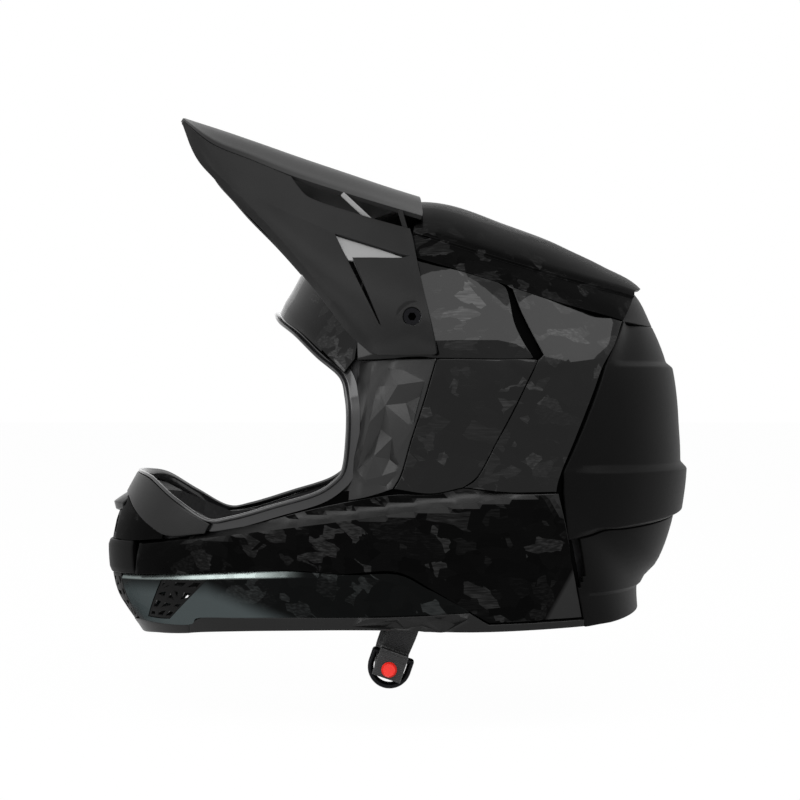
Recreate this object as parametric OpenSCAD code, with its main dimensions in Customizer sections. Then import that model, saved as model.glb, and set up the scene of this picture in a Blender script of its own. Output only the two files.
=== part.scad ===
// Full-face mountain bike helmet with an adjustable visor and a double-D chin strap.
// The nose points along -X, up is +Z and the wearer's left is -Y.
// The origin lies in the middle of the head, and each half mirrors the other across Y = 0.

/* [Shell] */
// Length of the shell from the chin bar to the back
helmet_length = 352; // [336:2:376]
// Width of the shell across the ears
helmet_width = 242; // [234:2:260]
// Height of the shell from its flat bottom to its roof
helmet_height = 256; // [248:2:270]
// Wall of the moulded shell panels
shell_wall = 2.4; // [2:0.2:3]
// Joint line between two neighbouring panels
panel_gap = 0.6; // [0.4:0.1:1]
// Clearance between one layer and the next one under it
layer_gap = 0.6; // [0.5:0.1:0.9]
// How far the ridge of the roof stands out over the side panels
ridge_overhang = 3.5; // [2:0.5:5]
// How far the shell under the visor lies below the roof
visor_step = 3.6; // [3:0.2:5]

/* [Liner and pads] */
// Room for the head, front to back, inside the hard foam
head_room_length = 204; // [196:2:208]
// Room for the head, side to side, inside the hard foam
head_room_width = 172; // [164:2:176]
// Room for the head above its widest level, inside the hard foam
head_room_height = 108; // [100:1:112]
// Thickness of the comfort pads on the crown
crown_pad_thick = 8; // [6:0.5:10]
// Thickness of the brow pad
brow_pad_thick = 7; // [5:0.5:9]
// Thickness of the cheek pads
cheek_pad_thick = 24; // [18:1:28]
// Thickness of the hard foam in the chin bar
chin_liner_thick = 15; // [10:1:18]
// Clearance between a pad and the hard foam behind it
pad_gap = 0.8; // [0.7:0.1:0.9]

/* [Visor] */
// Wall of the moulded visor
visor_wall = 2.6; // [2.2:0.2:3.2]
// Diameter of the visor screw's shank
screw_shank = 5; // [4:0.5:6]
// Diameter of the visor screw's head
screw_head = 9.6; // [9:0.2:11]
// Height of the visor screw's head
screw_head_height = 2.8; // [2.4:0.2:3.4]
// Width of the hex socket across its flats
hex_socket = 3; // [2.5:0.5:4]
// Radial clearance of the visor on its screws
pivot_clearance = 0.06; // [0.04:0.01:0.1]
// Diameter of the threaded insert that each screw goes into
insert_diameter = 12; // [11:0.5:13]
// Diameter of the visor's boss round each screw
boss_diameter = 19; // [18:0.5:21]

/* [Chin strap] */
// Width of the strap's webbing
strap_width = 17; // [15:1:20]
// Thickness of the strap's webbing
strap_thick = 2; // [1.6:0.2:2.2]
// Diameter of the wire of the two rings
ring_wire = 3.4; // [3:0.2:3.8]
// Clearance of the strap inside each ring, on both sides of it
ring_side_gap = 0.8; // [0.6:0.1:1.2]
// Clear depth inside each ring, from its bar to its bow
ring_depth = 14; // [13:0.5:15]
// Radial clearance of a ring's bar in the sewn loop
ring_clearance = 0.1; // [0.06:0.02:0.1]
// Diameter of the red press stud
stud_diameter = 9; // [8:0.5:10]

/* [Hidden] */
// The outlines below are drawn for these sizes and follow the sizes above.
drawn_length = 352;
drawn_width = 242;
drawn_height = 256;
stretch = [helmet_length / drawn_length, helmet_width / drawn_width, helmet_height / drawn_height];

// Outline of the shell on the middle plane, from the back, over the top, to the chin and back.
middle_outline = [
    [124, 0], [120.5, 24], [112, 48], [100, 69], [77.5, 82], [52.7, 94], [15.5, 108.5], [-35, 121.5],
    [-75, 110], [-104, 88], [-123, 59], [-168, 6], [-208, -43], [-223, -75], [-225, -95], [-221, -118],
    [-206, -141], [-178, -178], [-132, -226], [-67, -252], [0, -250], [58, -217], [95, -165], [100, -114],
    [111, -99], [119, -80], [124, -55], [125, -20]];
// Half width of the body and the powers of its rounding.
body_half = helmet_width / 2;
side_power = 2.1;
round_power = 2.2;
chin_sharpness = 0.8;
chin_angle = 203;
farthest = 400;

angles = [for (p = middle_outline) (atan2(p[1], p[0]) + 360) % 360];
radii = [for (p = middle_outline) norm(p)];
corners = len(middle_outline);

function turn(i) = angles[(i + corners) % corners] + 360 * floor(i / corners);
function reach_of(i) = radii[(i + corners) % corners];
function slope_at(i) = (reach_of(i + 1) - reach_of(i - 1)) / (turn(i + 1) - turn(i - 1));
function smooth_step(a, b, sa, sb, h, t) =
    (2 * pow(t, 3) - 3 * t * t + 1) * a + (pow(t, 3) - 2 * t * t + t) * sa * h
    + (3 * t * t - 2 * pow(t, 3)) * b + (pow(t, 3) - t * t) * sb * h;
function radius_at(a) =
    let (below = [for (i = [0:corners - 1]) if (angles[i] <= a) i], i = below[len(below) - 1],
         h = turn(i + 1) - turn(i))
    smooth_step(reach_of(i), reach_of(i + 1), slope_at(i), slope_at(i + 1), h, (a - turn(i)) / h);
outline_radius = [for (a = [0:3:360]) [a, radius_at(a)]];

// Body surface: body(p) is 1 on the surface, less inside and more outside.
function rounding(a) = round_power - chin_sharpness * pow(max(0, cos(a - chin_angle)), 2);
function body(p) =
    let (x = p[0] / stretch[0], z = p[2] / stretch[2], a = (atan2(z, x) + 360) % 360)
    pow(norm([x, z]) / lookup(a, outline_radius), rounding(a)) + pow(abs(p[1]) / body_half, side_power);
probe = 0.5;
function steepness(p) = [for (d = [[probe, 0, 0], [0, probe, 0], [0, 0, probe]])
    (body(p + d) - body(p - d)) / (2 * probe)];
function outward(p) = let (g = steepness(p)) g / norm(g);
function out(p, d) = p + d * outward(p);
function settle(p, times = 4) = times == 0 ? p :
    let (g = steepness(p)) settle(p - (body(p) - 1) * g / (g * g), times - 1);
function reach(shape, p, d, low = 0, high = farthest, times = 20) = let (middle = (low + high) / 2)
    times == 0 ? middle :
    shape(p + d * middle) < 1 ? reach(shape, p, d, middle, high, times - 1)
        : reach(shape, p, d, low, middle, times - 1);
shell_shape = function (p) body(p);
function half_width(x, z) = reach(shell_shape, [x, 0, z], [0, -1, 0]);

// A side knot is [x, z, lift]: it is drawn in the side view and lies on the left side.
// A free knot is [x, y, z, lift]: it is drawn near the surface and settles on it.
function on_side(q) = let (x = q[0] * stretch[0], z = q[1] * stretch[2])
    out([x, -half_width(x, z), z], q[2]);
function on_body(q) = out(settle([q[0] * stretch[0], q[1] * stretch[1], q[2] * stretch[2]]), q[3]);
function place(q) = len(q) == 3 ? on_side(q) : on_body(q);

function blend(a, b, t) = a + (b - a) * t;
function refine(line, k) = [for (i = [0:len(line) - 2]) for (j = [0:k - 1])
    blend(line[i], line[i + 1], j / k), line[len(line) - 1]];
function grid(rails, across, down) = refine([for (r = rails) refine(r, across)], down);
function nudge(a, b, g) = a + (b - a) * g / norm(b - a);
function inset_line(line, g) = let (n = len(line) - 1)
    [for (i = [0:n]) i == 0 ? nudge(line[0], line[1], g) : i == n ? nudge(line[n], line[n - 1], g) : line[i]];
function turned(rows) = [for (j = [0:len(rows[0]) - 1]) [for (r = rows) r[j]]];
function inset(rows, g) = turned([for (c = turned([for (r = rows) inset_line(r, g)])) inset_line(c, g)]);
function inset_rows(rows, g) = turned([for (c = turned(rows)) inset_line(c, g)]);
function other_half(row) = [for (j = [len(row) - 2:-1:0]) [row[j][0], -row[j][1], row[j][2]]];
function whole(rows) = [for (r = rows) concat(r, other_half(r))];
function placed(rails, across, down) = [for (r = grid(rails, across, down)) [for (q = r) place(q)]];
function sunk(rows, t) = [for (r = rows) [for (p = r) out(p, -t)]];

// Normal of a free grid, from the neighbours of each point.
function at_end(i, n) = max(0, min(n, i));
function grid_normal(rows, i, j) =
    let (m = len(rows) - 1, n = len(rows[0]) - 1,
         a = rows[i][at_end(j + 1, n)] - rows[i][at_end(j - 1, n)],
         b = rows[at_end(i + 1, m)][j] - rows[at_end(i - 1, m)][j], c = cross(a, b))
    c / norm(c);
function backed(rows, t) = [for (i = [0:len(rows) - 1]) [for (j = [0:len(rows[0]) - 1])
    rows[i][j] + t * grid_normal(rows, i, j)]];

function open_cell(i, j, gaps) = len([for (g = gaps) if (i >= g[0] && i < g[1] && j >= g[2] && j < g[3]) 1]) > 0;

// Closed sheet between an outer and an inner grid, with gaps given as cell ranges.
module sheet(outer, inner, gaps = []) {
    m = len(outer) - 1;
    n = len(outer[0]) - 1;
    count = (m + 1) * (n + 1);
    solid = [for (i = [-1:m]) [for (j = [-1:n])
        i >= 0 && j >= 0 && i < m && j < n && !open_cell(i, j, gaps)]];
    outward_side = cross(outer[0][1] - outer[0][0], outer[1][0] - outer[0][0]) * (outer[0][0] - inner[0][0]);
    faces = [for (i = [0:m - 1]) for (j = [0:n - 1]) if (solid[i + 1][j + 1])
        let (a = i * (n + 1) + j, b = a + 1, d = a + n + 1, c = d + 1)
        each concat(
            [[a, b, c], [a, c, d], [a + count, c + count, b + count], [a + count, d + count, c + count]],
            solid[i][j + 1] ? [] : [[b, a, a + count], [b, a + count, b + count]],
            solid[i + 1][j + 2] ? [] : [[c, b, b + count], [c, b + count, c + count]],
            solid[i + 2][j + 1] ? [] : [[d, c, c + count], [d, c + count, d + count]],
            solid[i + 1][j] ? [] : [[a, d, d + count], [a, d + count, a + count]])];
    polyhedron(points = concat([for (r = outer) each r], [for (r = inner) each r]),
        faces = outward_side < 0 ? faces : [for (f = faces) [f[2], f[1], f[0]]], convexity = 6);
}

// Moulded panel of the shell, drawn by its rails.
module panel(rails, across = 1, down = 1, wall = shell_wall, gaps = []) {
    rows = inset(placed(rails, across, down), panel_gap / 2);
    sheet(rows, sunk(rows, wall), gaps);
}

// Moulded panel that crosses the middle of the helmet.
module middle_panel(rails, across = 1, down = 1, wall = shell_wall, gaps = []) {
    half = placed(rails, across, down);
    sides = [for (r = half) concat([nudge(r[0], r[1], panel_gap / 2)], [for (j = [1:len(r) - 1]) r[j]])];
    rows = inset_rows(whole(sides), panel_gap / 2);
    sheet(rows, sunk(rows, wall), gaps);
}

module right_side() {
    mirror([0, 1, 0]) children();
}

// Seams of the shell, shared by the panels on both sides of them.
band_line = [[-37, 81.7, 0], [-13, 74.3, 0], [11.2, 66.8, 0], [44.9, 56, 0], [83, 46, 0]];
ridge_line = [[-38.4, 98.4, ridge_overhang], [-11.8, 90, ridge_overhang], [17.2, 81, ridge_overhang],
    [50, 71.8, ridge_overhang], [90, 62.2, ridge_overhang]];
belt_front = [-26, 23.5, 0];
belt_rear = [31, 22.5, 0];
groove = [belt_rear, [20.2, 0, 0], [8.4, -22.4, 0], [-3.9, -44.3, 0], [-11, -49.5, 0]];
cheek_seam = [belt_front, [-33, 0, 0], [-40.3, -22.5, 0], [-46.5, -43.4, 0], [-50.6, -50.5, 0]];
eye_rim = [[-75, 23.5, 0], [-75, 6, 0], [-74, -14, 0], [-77.7, -41.4, 0], [-82.3, -48.3, 0], [-92, -53, 0],
    [-118, -60, 0], [-145, -67.7, 0], [-158, -69.8, 0]];

// Roof with its side bands and the tail that overhangs the back.
module roof_shell() {
    top = [for (i = [0:4]) [[-34, 0, 34, 68, 102][i], 0, [121.5, 113.6, 102, 87, 69.4][i], 0]];
    mid = [for (i = [0:4]) [[-36, -3, 29, 62, 99][i], -[38, 44, 43, 38, 30][i], [116, 107, 96, 82, 67][i], 0.5]];
    edge = [for (q = ridge_line) let (p = on_side([q[0], q[1], 0])) [p[0] / stretch[0], p[1] / stretch[1],
        p[2] / stretch[2], q[2]]];
    hem = [for (q = band_line) let (p = on_side(q)) [p[0] / stretch[0], p[1] / stretch[1],
        p[2] / stretch[2], 0]];
    color("dimgray") middle_panel(turned([hem, edge, mid, top]), across = 2, down = 3);
}

// Front of the shell, under the visor, down to the brow.
module forehead_shell() {
    rear = [[-73, -97, 24], [-70, -92, 62], [-68, -72, 93], [-42, -62, 102], [-36, -30, 117], [-35, 0, 121]];
    brow = [[-78, -93, 15], [-92, -80, 27], [-108, -62, 42], [-118, -42, 50], [-122, -21, 55], [-123.4, 0, 58]];
    lift = -visor_step;
    color("#1b1b1c") middle_panel([[for (p = rear) concat(p, lift)], [for (p = brow) concat(p, lift)]],
        across = 2, down = 6);
}

module side_shell_left() {
    rails = [
        [[-68, 91, 0], [-37, 81.7, 0], [-13, 74.3, 0], [11.2, 66.8, 0]],
        [[-70, 62, 0], [-33, 58, 0], [-8, 55, 0], [15.5, 50, 0]],
        [[-72, 36, 0], [-28, 34, 0], [-3, 33.6, 0], [22, 32, 0]],
        [[-73, 23.5, -1.5], [-26, 23.5, -1.5], [0, 23.2, -1.5], [27.5, 22.8, -1.5]]];
    pivot_cut() color("dimgray") panel(rails, across = 2, down = 2);
}

module side_shell_right() {
    right_side() side_shell_left();
}

module rear_side_shell_left() {
    rails = [
        [[15.5, 61.5, 0], [37, 56.3, 0], [60, 51.2, 0], [83, 46, 0]],
        [[25, 43, 0], [43, 39, 0], [60, 35.5, 0], [77.5, 32, 0]],
        [[32.5, 25, 0], [45, 24, 0], [58, 23, 0], [71.7, 22.3, 0]],
        [[22.5, 4, 0], [36, 3, 0], [50, 2.5, 0], [64, 3, 0]],
        [[8.4, -22.4, 0], [24, -22.5, 0], [39, -22.5, 0], [53.4, -22.6, 0]],
        [[-3.9, -44.3, 0], [13, -45, 0], [29, -45, 0], [44.4, -44.5, 0]],
        [[-11, -49.5, 0], [8, -52, 0], [26, -53, 0], [42.9, -52.5, 0]]];
    color("dimgray") panel(rails, across = 1, down = 1);
}

module rear_side_shell_right() {
    right_side() rear_side_shell_left();
}

module cheek_shell_left() {
    rails = [for (i = [0:4]) [cheek_seam[i], blend(cheek_seam[i], groove[i], 0.5), groove[i]]];
    color("dimgray") panel(rails, across = 2, down = 2);
}

module cheek_shell_right() {
    right_side() cheek_shell_left();
}

// Lower band of the shell, from the nose bumper to the back, with its two creases.
module jaw_shell_left() {
    rails = [
        [[-205, -83.6, 0], [-187, -82, 0], [-161, -77.7, 0], [-134, -72.2, 0], [-107, -65, 0], [-80.6, -58.6, 0],
            [-50.6, -53.5, 0], [-29, -53.1, 0], [-11, -49.5, 0], [16, -52.5, 0], [42.9, -52.5, 0]],
        [[-205, -87, 0.6], [-187, -84.5, 0.6], [-161, -80.6, 0.6], [-133, -76.1, 0.6], [-107, -73.3, 0.6],
            [-80.6, -69.7, 0.6], [-50, -64, 0.6], [-27, -60, 0.6], [-5, -57, 0.6], [19, -54.5, 0.6],
            [43.4, -55, 0]],
        [[-205, -104.4, 0], [-184, -103, 0], [-158, -101.3, 0], [-132, -99.4, 0], [-106, -98.4, 0],
            [-80, -99.6, 0], [-48, -98, 0], [-30, -107, 0], [-13, -117, 0], [4, -127, 0], [59, -125.5, 0]]];
    color("dimgray") panel(rails, across = 1, down = 2);
}

module jaw_shell_right() {
    right_side() jaw_shell_left();
}

// Matt trim round the side of the eye opening and along the top of the chin bar.
module cheek_trim_left() {
    seam = concat(cheek_seam, [[-62, -54.4, 0], [-100, -63.4, 0], [-134, -72.2, 0], [-161, -77.7, 0]]);
    rails = [for (i = [0:8]) [eye_rim[i], blend(eye_rim[i], seam[i], 0.5), seam[i]]];
    color("#2a2b2d") panel(rails, across = 1, down = 1);
}

module cheek_trim_right() {
    right_side() cheek_trim_left();
}

// Matt front of the chin bar's rim, across the nose.
module nose_trim() {
    rails = [
        [[-158, -77, -69.8, 0], [-178, -64, -58.8, 0], [-196, -42, -47.6, 0], [-206, -22, -44, 0],
            [-209, 0, -43.4, 0]],
        [[-161, -75, -77.7, 0], [-186, -59.5, -79.5, 0], [-203, -40, -67, 0], [-213, -23, -57, 0],
            [-217, 0, -55, 0]]];
    color("#2a2b2d") middle_panel(rails, across = 2, down = 1);
}

module nose_shell_left() {
    rails = [
        [[-213, -23, -57, 0], [-203, -40, -67, 0], [-186, -59.5, -79.5, 0]],
        [[-217, -23, -84, 0], [-207, -42, -84, 0], [-187, -59.5, -82, 0]]];
    color("dimgray") panel(rails, across = 2, down = 2);
}

module nose_shell_right() {
    right_side() nose_shell_left();
}

// Frame of the vent in the nose, with its bars.
module nose_vent() {
    rows = inset([for (i = [0:8]) [for (y = [-22.9:4.58:22.95])
        place([-218, y, blend(-56.4, -84.5, i / 8), -0.8])]], panel_gap / 2);
    color("#242526") sheet(rows, sunk(rows, shell_wall), [[1, 3, 1, 9], [4, 7, 1, 4], [4, 7, 6, 9]]);
}

// Block across the front of the chin bar.
module chin_bumper() {
    rails = [
        [[-206.2, -43, -84, 0], [-216, -26, -84.5, 0.5], [-221, -13, -85, 1], [-223, 0, -85, 1]],
        [[-207, -43, -94, 0.5], [-217, -26, -94, 3], [-222, -13, -95, 3.6], [-225, 0, -95, 3.6]],
        [[-206.2, -43, -104.4, 0], [-216, -26, -104.8, 0.5], [-221, -13, -105, 1], [-223, 0, -105, 1]]];
    color("#2a2b2d") middle_panel(rails, across = 1, down = 1, wall = 1.5 * shell_wall);
}

// Smooth panel of the lower chin, with a window for the side grille.
chin_step = [[-172, -55, -133.6, 0], [-165, -60, -128.6, 0]];
module lower_chin_left() {
    rails = [
        [[-213, -28, -104.9, 0], [-188, -56, -104.2, 0], [-158.5, -70.5, -101.8, 0], [-145, -77, -100.6, 0],
            [-120, -87, -99.2, 0], [-100, -93, -99, 0], [-75, -101, -99.9, 0], [-48, -107, -98.9, 0],
            [-30, -110, -107.8, 0]],
        [[-213, -28, -107.2, 0], [-188.5, -55.5, -106.6, 0], [-159.5, -70, -105.4, 0], [-145, -76.6, -104, 0],
            [-120, -86.5, -103, 0], [-100, -92.5, -102.6, 0], [-75, -100.5, -103, 0], [-48, -106.5, -102.4, 0],
            [-27.5, -110.5, -109, 0]],
        [[-209, -26, -130, 0], [-199.5, -35, -131.2, 0], [-184, -47, -130.6, 0], [-162, -62, -126, 0],
            [-135, -75, -124, 0], [-110, -84, -122.8, 0], [-80, -94, -121.8, 0], [-48, -102, -120.6, 0],
            [-9, -107.5, -118.6, 0]],
        [[-206, -25, -134.3, 0], [-197, -36, -134.5, 0], chin_step[0], chin_step[1],
            [-135, -74, -126.8, 0], [-110, -83, -125.4, 0], [-80, -93.5, -124.4, 0], [-48, -101.5, -123, 0],
            [-7, -107.3, -120.4, 0]]];
    color("#6b6e72") panel(rails, across = 1, down = 1, gaps = [[1, 2, 1, 2]]);
}

module lower_chin_right() {
    right_side() lower_chin_left();
}

function lattice(n, bar) = [for (i = [0:n - 1]) each [i * (1 - bar) / n, i * (1 - bar) / n + bar], 1];
function at_share(line, t) = blend(line[0], line[1], t);

// Moulded mesh in the side of the chin bar.
grille_meshes = 4;
grille_bar = 0.07;
module side_grille_left() {
    steps = lattice(grille_meshes, grille_bar);
    top = [[-187.5, -56.5, -107.2, -0.4], [-160.5, -69.5, -106, -0.4]];
    low = [[-198.6, -35.6, -130.6, -0.4], [-184.6, -46.5, -130, -0.4]];
    rows = inset([for (t = steps) [for (s = steps)
        place(blend(at_share(top, s), at_share(low, s), t))]], panel_gap / 2);
    n = 2 * grille_meshes;
    color("#1f2021") sheet(rows, sunk(rows, shell_wall),
        [for (i = [1:2:n - 1]) for (j = [1:2:n - 1]) [i, i + 1, j, j + 1]]);
}

module side_grille_right() {
    right_side() side_grille_left();
}

// Moulded mesh across the front of the chin bar, under the bumper.
module front_grille() {
    columns = 6;
    floors = 4;
    rows = inset([for (t = lattice(floors, 0.06)) [for (s = lattice(columns, 0.04))
        place([blend(-216, -210, t), (2 * s - 1) * blend(28, 25, t), blend(-104.9, -134.2, t), -0.4])]],
        panel_gap / 2);
    color("#1f2021") sheet(rows, sunk(rows, shell_wall),
        [for (i = [1:2:2 * floors - 1]) for (j = [1:2:2 * columns - 1]) [i, i + 1, j, j + 1]]);
}

// Matt lip round the bottom edge, from the front of the chin bar to the back of each side.
module bottom_trim_left() {
    rails = [
        [[-172, -133.6, 0], [-165, -128.6, 0], [-135, -126.8, 0], [-110, -125.4, 0], [-80, -124.4, 0],
            [-48, -123, 0], [-7, -120.7, 0], [4, -127.5, 0], [59, -125.9, 0]],
        [[-172, -139, 0], [-165, -138, 0], [-135, -135.5, 0], [-110, -134, 0], [-80, -132.6, 0],
            [-48, -132, 0], [-12, -132.6, 0], [6, -132.4, 0], [59, -130.5, 0]]];
    color("#2a2b2d") panel(rails, across = 2, down = 1, wall = 1.5 * shell_wall);
}

module bottom_trim_right() {
    right_side() bottom_trim_left();
}

module front_trim() {
    rails = [
        [chin_step[0], [-186, -45, -134.2, 0], [-197, -36, -134.5, 0], [-206, -25, -134.3, 0],
            [-211, 0, -134.2, 0]],
        [[-172, -52, -139, 0], [-186, -41, -140.5, 0], [-196, -31, -141.5, 0], [-203, -16, -142, 0],
            [-206, 0, -142, 0]]];
    color("#2a2b2d") middle_panel(rails, across = 1, down = 1, wall = 1.5 * shell_wall);
}

// Matt back of the shell, in three tiers.
tier_lift = [-1, -1, 0.5, 0.5, 4.5, 4.5, 0];
module rear_shell() {
    heights = [46, 23.5, 19.5, -37, -41, -67, -70.5];
    seam_x = [83.4, 72.8, 71, 47.9, 46.1, 46.6, 47.2];
    tail_x = [112, 120, 121, 125, 124.5, 122, 121];
    rails = [for (i = [0:6]) let (s = on_side([seam_x[i], heights[i], 0]), y = s[1] / stretch[1])
        [[seam_x[i], y, heights[i], 0],
         [blend(seam_x[i], tail_x[i], 0.28), y * 0.9, heights[i], tier_lift[i]],
         [blend(seam_x[i], tail_x[i], 0.62), y * 0.68, heights[i], tier_lift[i]],
         [blend(seam_x[i], tail_x[i], 0.9), y * 0.36, heights[i], tier_lift[i]],
         [tail_x[i], 0, heights[i], tier_lift[i]]]];
    color("#232425") middle_panel(rails, across = 2, down = 1);
}

// Roof of the back, between the spoiler tail and the tiers.
module rear_bridge() {
    rails = [
        [[81, -82, 49, -4.5], [86, -62, 62.5, -4.5], [93, -35, 68.5, -4.5], [97, 0, 71.5, -4.5]],
        [[83.4, -82, 46.5, -1.2], [99, -62, 46.5, -1.2], [109, -35, 46.5, -1.2], [112.5, 0, 46.5, -1.2]]];
    color("#232425") middle_panel(rails, across = 2, down = 2);
}

// Recessed neck part of the back, with its row of exhaust vents.
module neck_shell() {
    heights = [-70.5, -78, -112, -125.5];
    seam_x = [47.2, 48.9, 56.2, 59];
    tail_x = [121, 118.5, 101, 99.5];
    rails = [for (i = [0:3]) let (s = on_side([seam_x[i], heights[i], 0]), y = s[1] / stretch[1])
        [[seam_x[i], y, heights[i], 0],
         [blend(seam_x[i], tail_x[i], 0.28), y * 0.9, heights[i], 0],
         [blend(seam_x[i], tail_x[i], 0.62), y * 0.68, heights[i], 0],
         [blend(seam_x[i], tail_x[i], 0.9), y * 0.36, heights[i], 0],
         [tail_x[i], 0, heights[i], 0]]];
    color("#232425") middle_panel(rails, across = 2, down = 1,
        gaps = [[1, 2, 1, 2], [1, 2, 3, 4], [1, 2, 5, 6], [1, 2, 10, 11], [1, 2, 12, 13], [1, 2, 14, 15]]);
}

// Place of the visor's pivot, shared by all that turns or sits on it.
pivot = [-39.7 * stretch[0], 47 * stretch[2]];
pivot_half = half_width(pivot[0], pivot[1]);
insert_proud = 0.8;
insert_face = pivot_half + insert_proud;
insert_length = 9;
washer_gap = 0.3;
boss_length = 5.4;
boss_face = insert_face + washer_gap + boss_length;
// The boss widens above the slope of the shell, so that it clears it as it turns.
boss_profile = [[0, insert_face + washer_gap], [insert_diameter / 2, insert_face + washer_gap],
    [insert_diameter / 2, pivot_half + 2.9], [boss_diameter / 2, pivot_half + 4.4],
    [boss_diameter / 2, boss_face], [0, boss_face]];

module along_pivot(from, to) {
    translate([pivot[0], -to, pivot[1]]) rotate([-90, 0, 0]) linear_extrude(to - from) children();
}

module on_pivot(at) {
    translate([pivot[0], -at, pivot[1]]) rotate([90, 0, 0]) children();
}

module pivot_cut() {
    difference() {
        children();
        along_pivot(pivot_half - 20, pivot_half + 20) circle(d = insert_diameter + 2 * panel_gap, $fn = 48);
    }
}

module visor_insert_left() {
    color("silver") along_pivot(insert_face - insert_length, insert_face) difference() {
        circle(d = insert_diameter, $fn = 48);
        circle(d = screw_shank + 0.02, $fn = 48);
    }
}

module visor_insert_right() {
    right_side() visor_insert_left();
}

module visor_screw_left() {
    color("#1c1c1c") {
        along_pivot(insert_face - insert_length + 1, boss_face - screw_head_height)
            circle(d = screw_shank, $fn = 48);
        along_pivot(boss_face - screw_head_height, boss_face - 1.6) circle(d = screw_head, $fn = 48);
        along_pivot(boss_face - 1.6, boss_face) difference() {
            circle(d = screw_head, $fn = 48);
            circle(d = hex_socket / cos(30), $fn = 6);
        }
    }
}

module visor_screw_right() {
    right_side() visor_screw_left();
}

// Visor: a crowned blade, an open slot with a strut on each side, and two wings down to the pivots.
visor_low = [[-176, -46, 168], [-166, -62, 143], [-146, -74, 119.5], [-122, -84, 97], [-101, -92, 72],
    [-85, -97, 54], [-72, -104, 37.5], [-59, -110, 26.5], [-24, -121, 25]];
visor_mid = [[-175, -48, 169], [-160, -63, 146.5], [-138, -72, 129], [-114, -80, 114], [-97, -86, 96.5],
    [-80, -90, 88], [-67, -94, 82], [-51, -100, 72], [-34, -106, 70]];
visor_top = [[-173, -50, 170], [-154, -64, 149], [-131, -68, 140.5], [-109.6, -71, 130.8], [-101, -73, 118.6],
    [-82, -75, 113.5], [-69, -76, 109.5], [-54, -77, 104.5], [-44, -77, 101]];
visor_edge = [[-173.5, -46, 171], [-153, -60, 151.5], [-130, -63, 143], [-108.5, -65, 134], [-100, -65, 130.5],
    [-81, -65, 125], [-68, -65, 120.7], [-54, -65, 116], [-42.5, -65, 111.6]];
visor_crown = [[-176, -22, 172.5], [-154, -30, 163], [-130, -32, 154.5], [-110, -33, 147], [-98, -34, 143],
    [-80, -34, 136.5], [-66, -34, 132], [-52, -34, 127.2], [-40.5, -34, 123.4]];
visor_spine = [[-178, 0, 174], [-155, 0, 166], [-131, 0, 157.5], [-111, 0, 150.5], [-98, 0, 146],
    [-80, 0, 140], [-66, 0, 135], [-51, 0, 130.2], [-38, 0, 126.2]];
tilt_travel = 12;
wing_gap = 0.9;
function scaled(line) = [for (p = line) [p[0] * stretch[0], p[1] * stretch[1], p[2] * stretch[2]]];

// Clearance of a point over the body, at its least while the visor tips down.
function tipped(p, a) = let (x = p[0] - pivot[0], z = p[2] - pivot[1])
    [pivot[0] + x * cos(a) - z * sin(a), p[1], pivot[1] + x * sin(a) + z * cos(a)];
function surface_gap(p) = (body(p) - 1) / norm(steepness(p));
function swept_gap(p) = min([for (a = [0:4:tilt_travel]) surface_gap(tipped(p, a))]);
function off_shell(p) = out(p, max(0, visor_wall + wing_gap - swept_gap(p)));

module visor() {
    half = [visor_low, visor_mid, visor_top, visor_edge, visor_crown, visor_spine];
    left = [for (r = grid([for (h = half) scaled(h)], 2, 2)) [for (p = r) off_shell(p)]];
    last = len(left) - 2;
    rows = concat(left, [for (i = [last:-1:0]) [for (p = left[i]) [p[0], -p[1], p[2]]]]);
    inner = backed(rows, -visor_wall);
    color("#2c2d2f") difference() {
        union() {
            sheet(rows, inner, [[4, 6, 8, 10], [4, 6, 12, 16], [14, 16, 8, 10], [14, 16, 12, 16]]);
            for (side = [0, 1]) mirror([0, side, 0])
                on_pivot(0) rotate_extrude($fn = 64) polygon(boss_profile);
        }
        for (side = [0, 1]) mirror([0, side, 0]) {
            along_pivot(pivot_half - 20, insert_face + washer_gap)
                circle(d = insert_diameter + 2 * layer_gap, $fn = 48);
            along_pivot(pivot_half, boss_face + 9) circle(d = screw_shank + 2 * pivot_clearance, $fn = 48);
            along_pivot(boss_face - screw_head_height - pivot_clearance, boss_face + 9)
                circle(d = screw_head + 2 * layer_gap, $fn = 48);
        }
    }
}

// Room for the head: head_room(p) is 1 on the inner face of the hard foam.
head_middle = [-2, 0, -25];
function head_room(p) = let (q = p - head_middle)
    pow(2 * q[0] / head_room_length, 2) + pow(2 * q[1] / head_room_width, 2)
    + pow(max(0, q[2]) / head_room_height, 2);
head_shape = function (p) head_room(p);
function ray(turn_angle, rise) = [-cos(rise) * cos(turn_angle), -cos(rise) * sin(turn_angle), sin(rise)];
// The foam's corners stand off by a facet's sag, so that its flat facets stay outside the room.
facet_sag = 0.75;
function head_wall(turn_angle, rise) = let (d = ray(turn_angle, rise))
    d * (reach(head_shape, [0, 0, 0], d) + facet_sag);

// Height of the foam's rim, as a rise in degrees for each turn away from the nose.
rim_rise = [[0, 28], [18, 27], [30, 21], [41, 14], [50, 9], [55, 4], [60, -33], [65, -46], [75, -48], [90, -49],
    [120, -48.5], [150, -47], [180, -46.5]];
liner_gap = 1.2;
low_clearance = 2.4;
rear_clearance = 1.2;
bridge_clearance = 3.2;
function ramp(t) = max(0, min(1, t));
function liner_depth(p) = shell_wall + layer_gap + liner_gap
    + visor_step * ramp((-15 - p[0]) / 15) * ramp((p[2] + 10) / 20) + low_clearance * ramp((-35 - p[2]) / 30)
    + rear_clearance * ramp((p[0] - 30) / 20) + bridge_clearance * ramp((p[0] - 60) / 20) * ramp((p[2] - 25) / 15);
function liner_face(turn_angle, rise) = let (d = ray(turn_angle, rise), p = d * reach(shell_shape, [0, 0, 0], d))
    out(p, -liner_depth(p));

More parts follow.
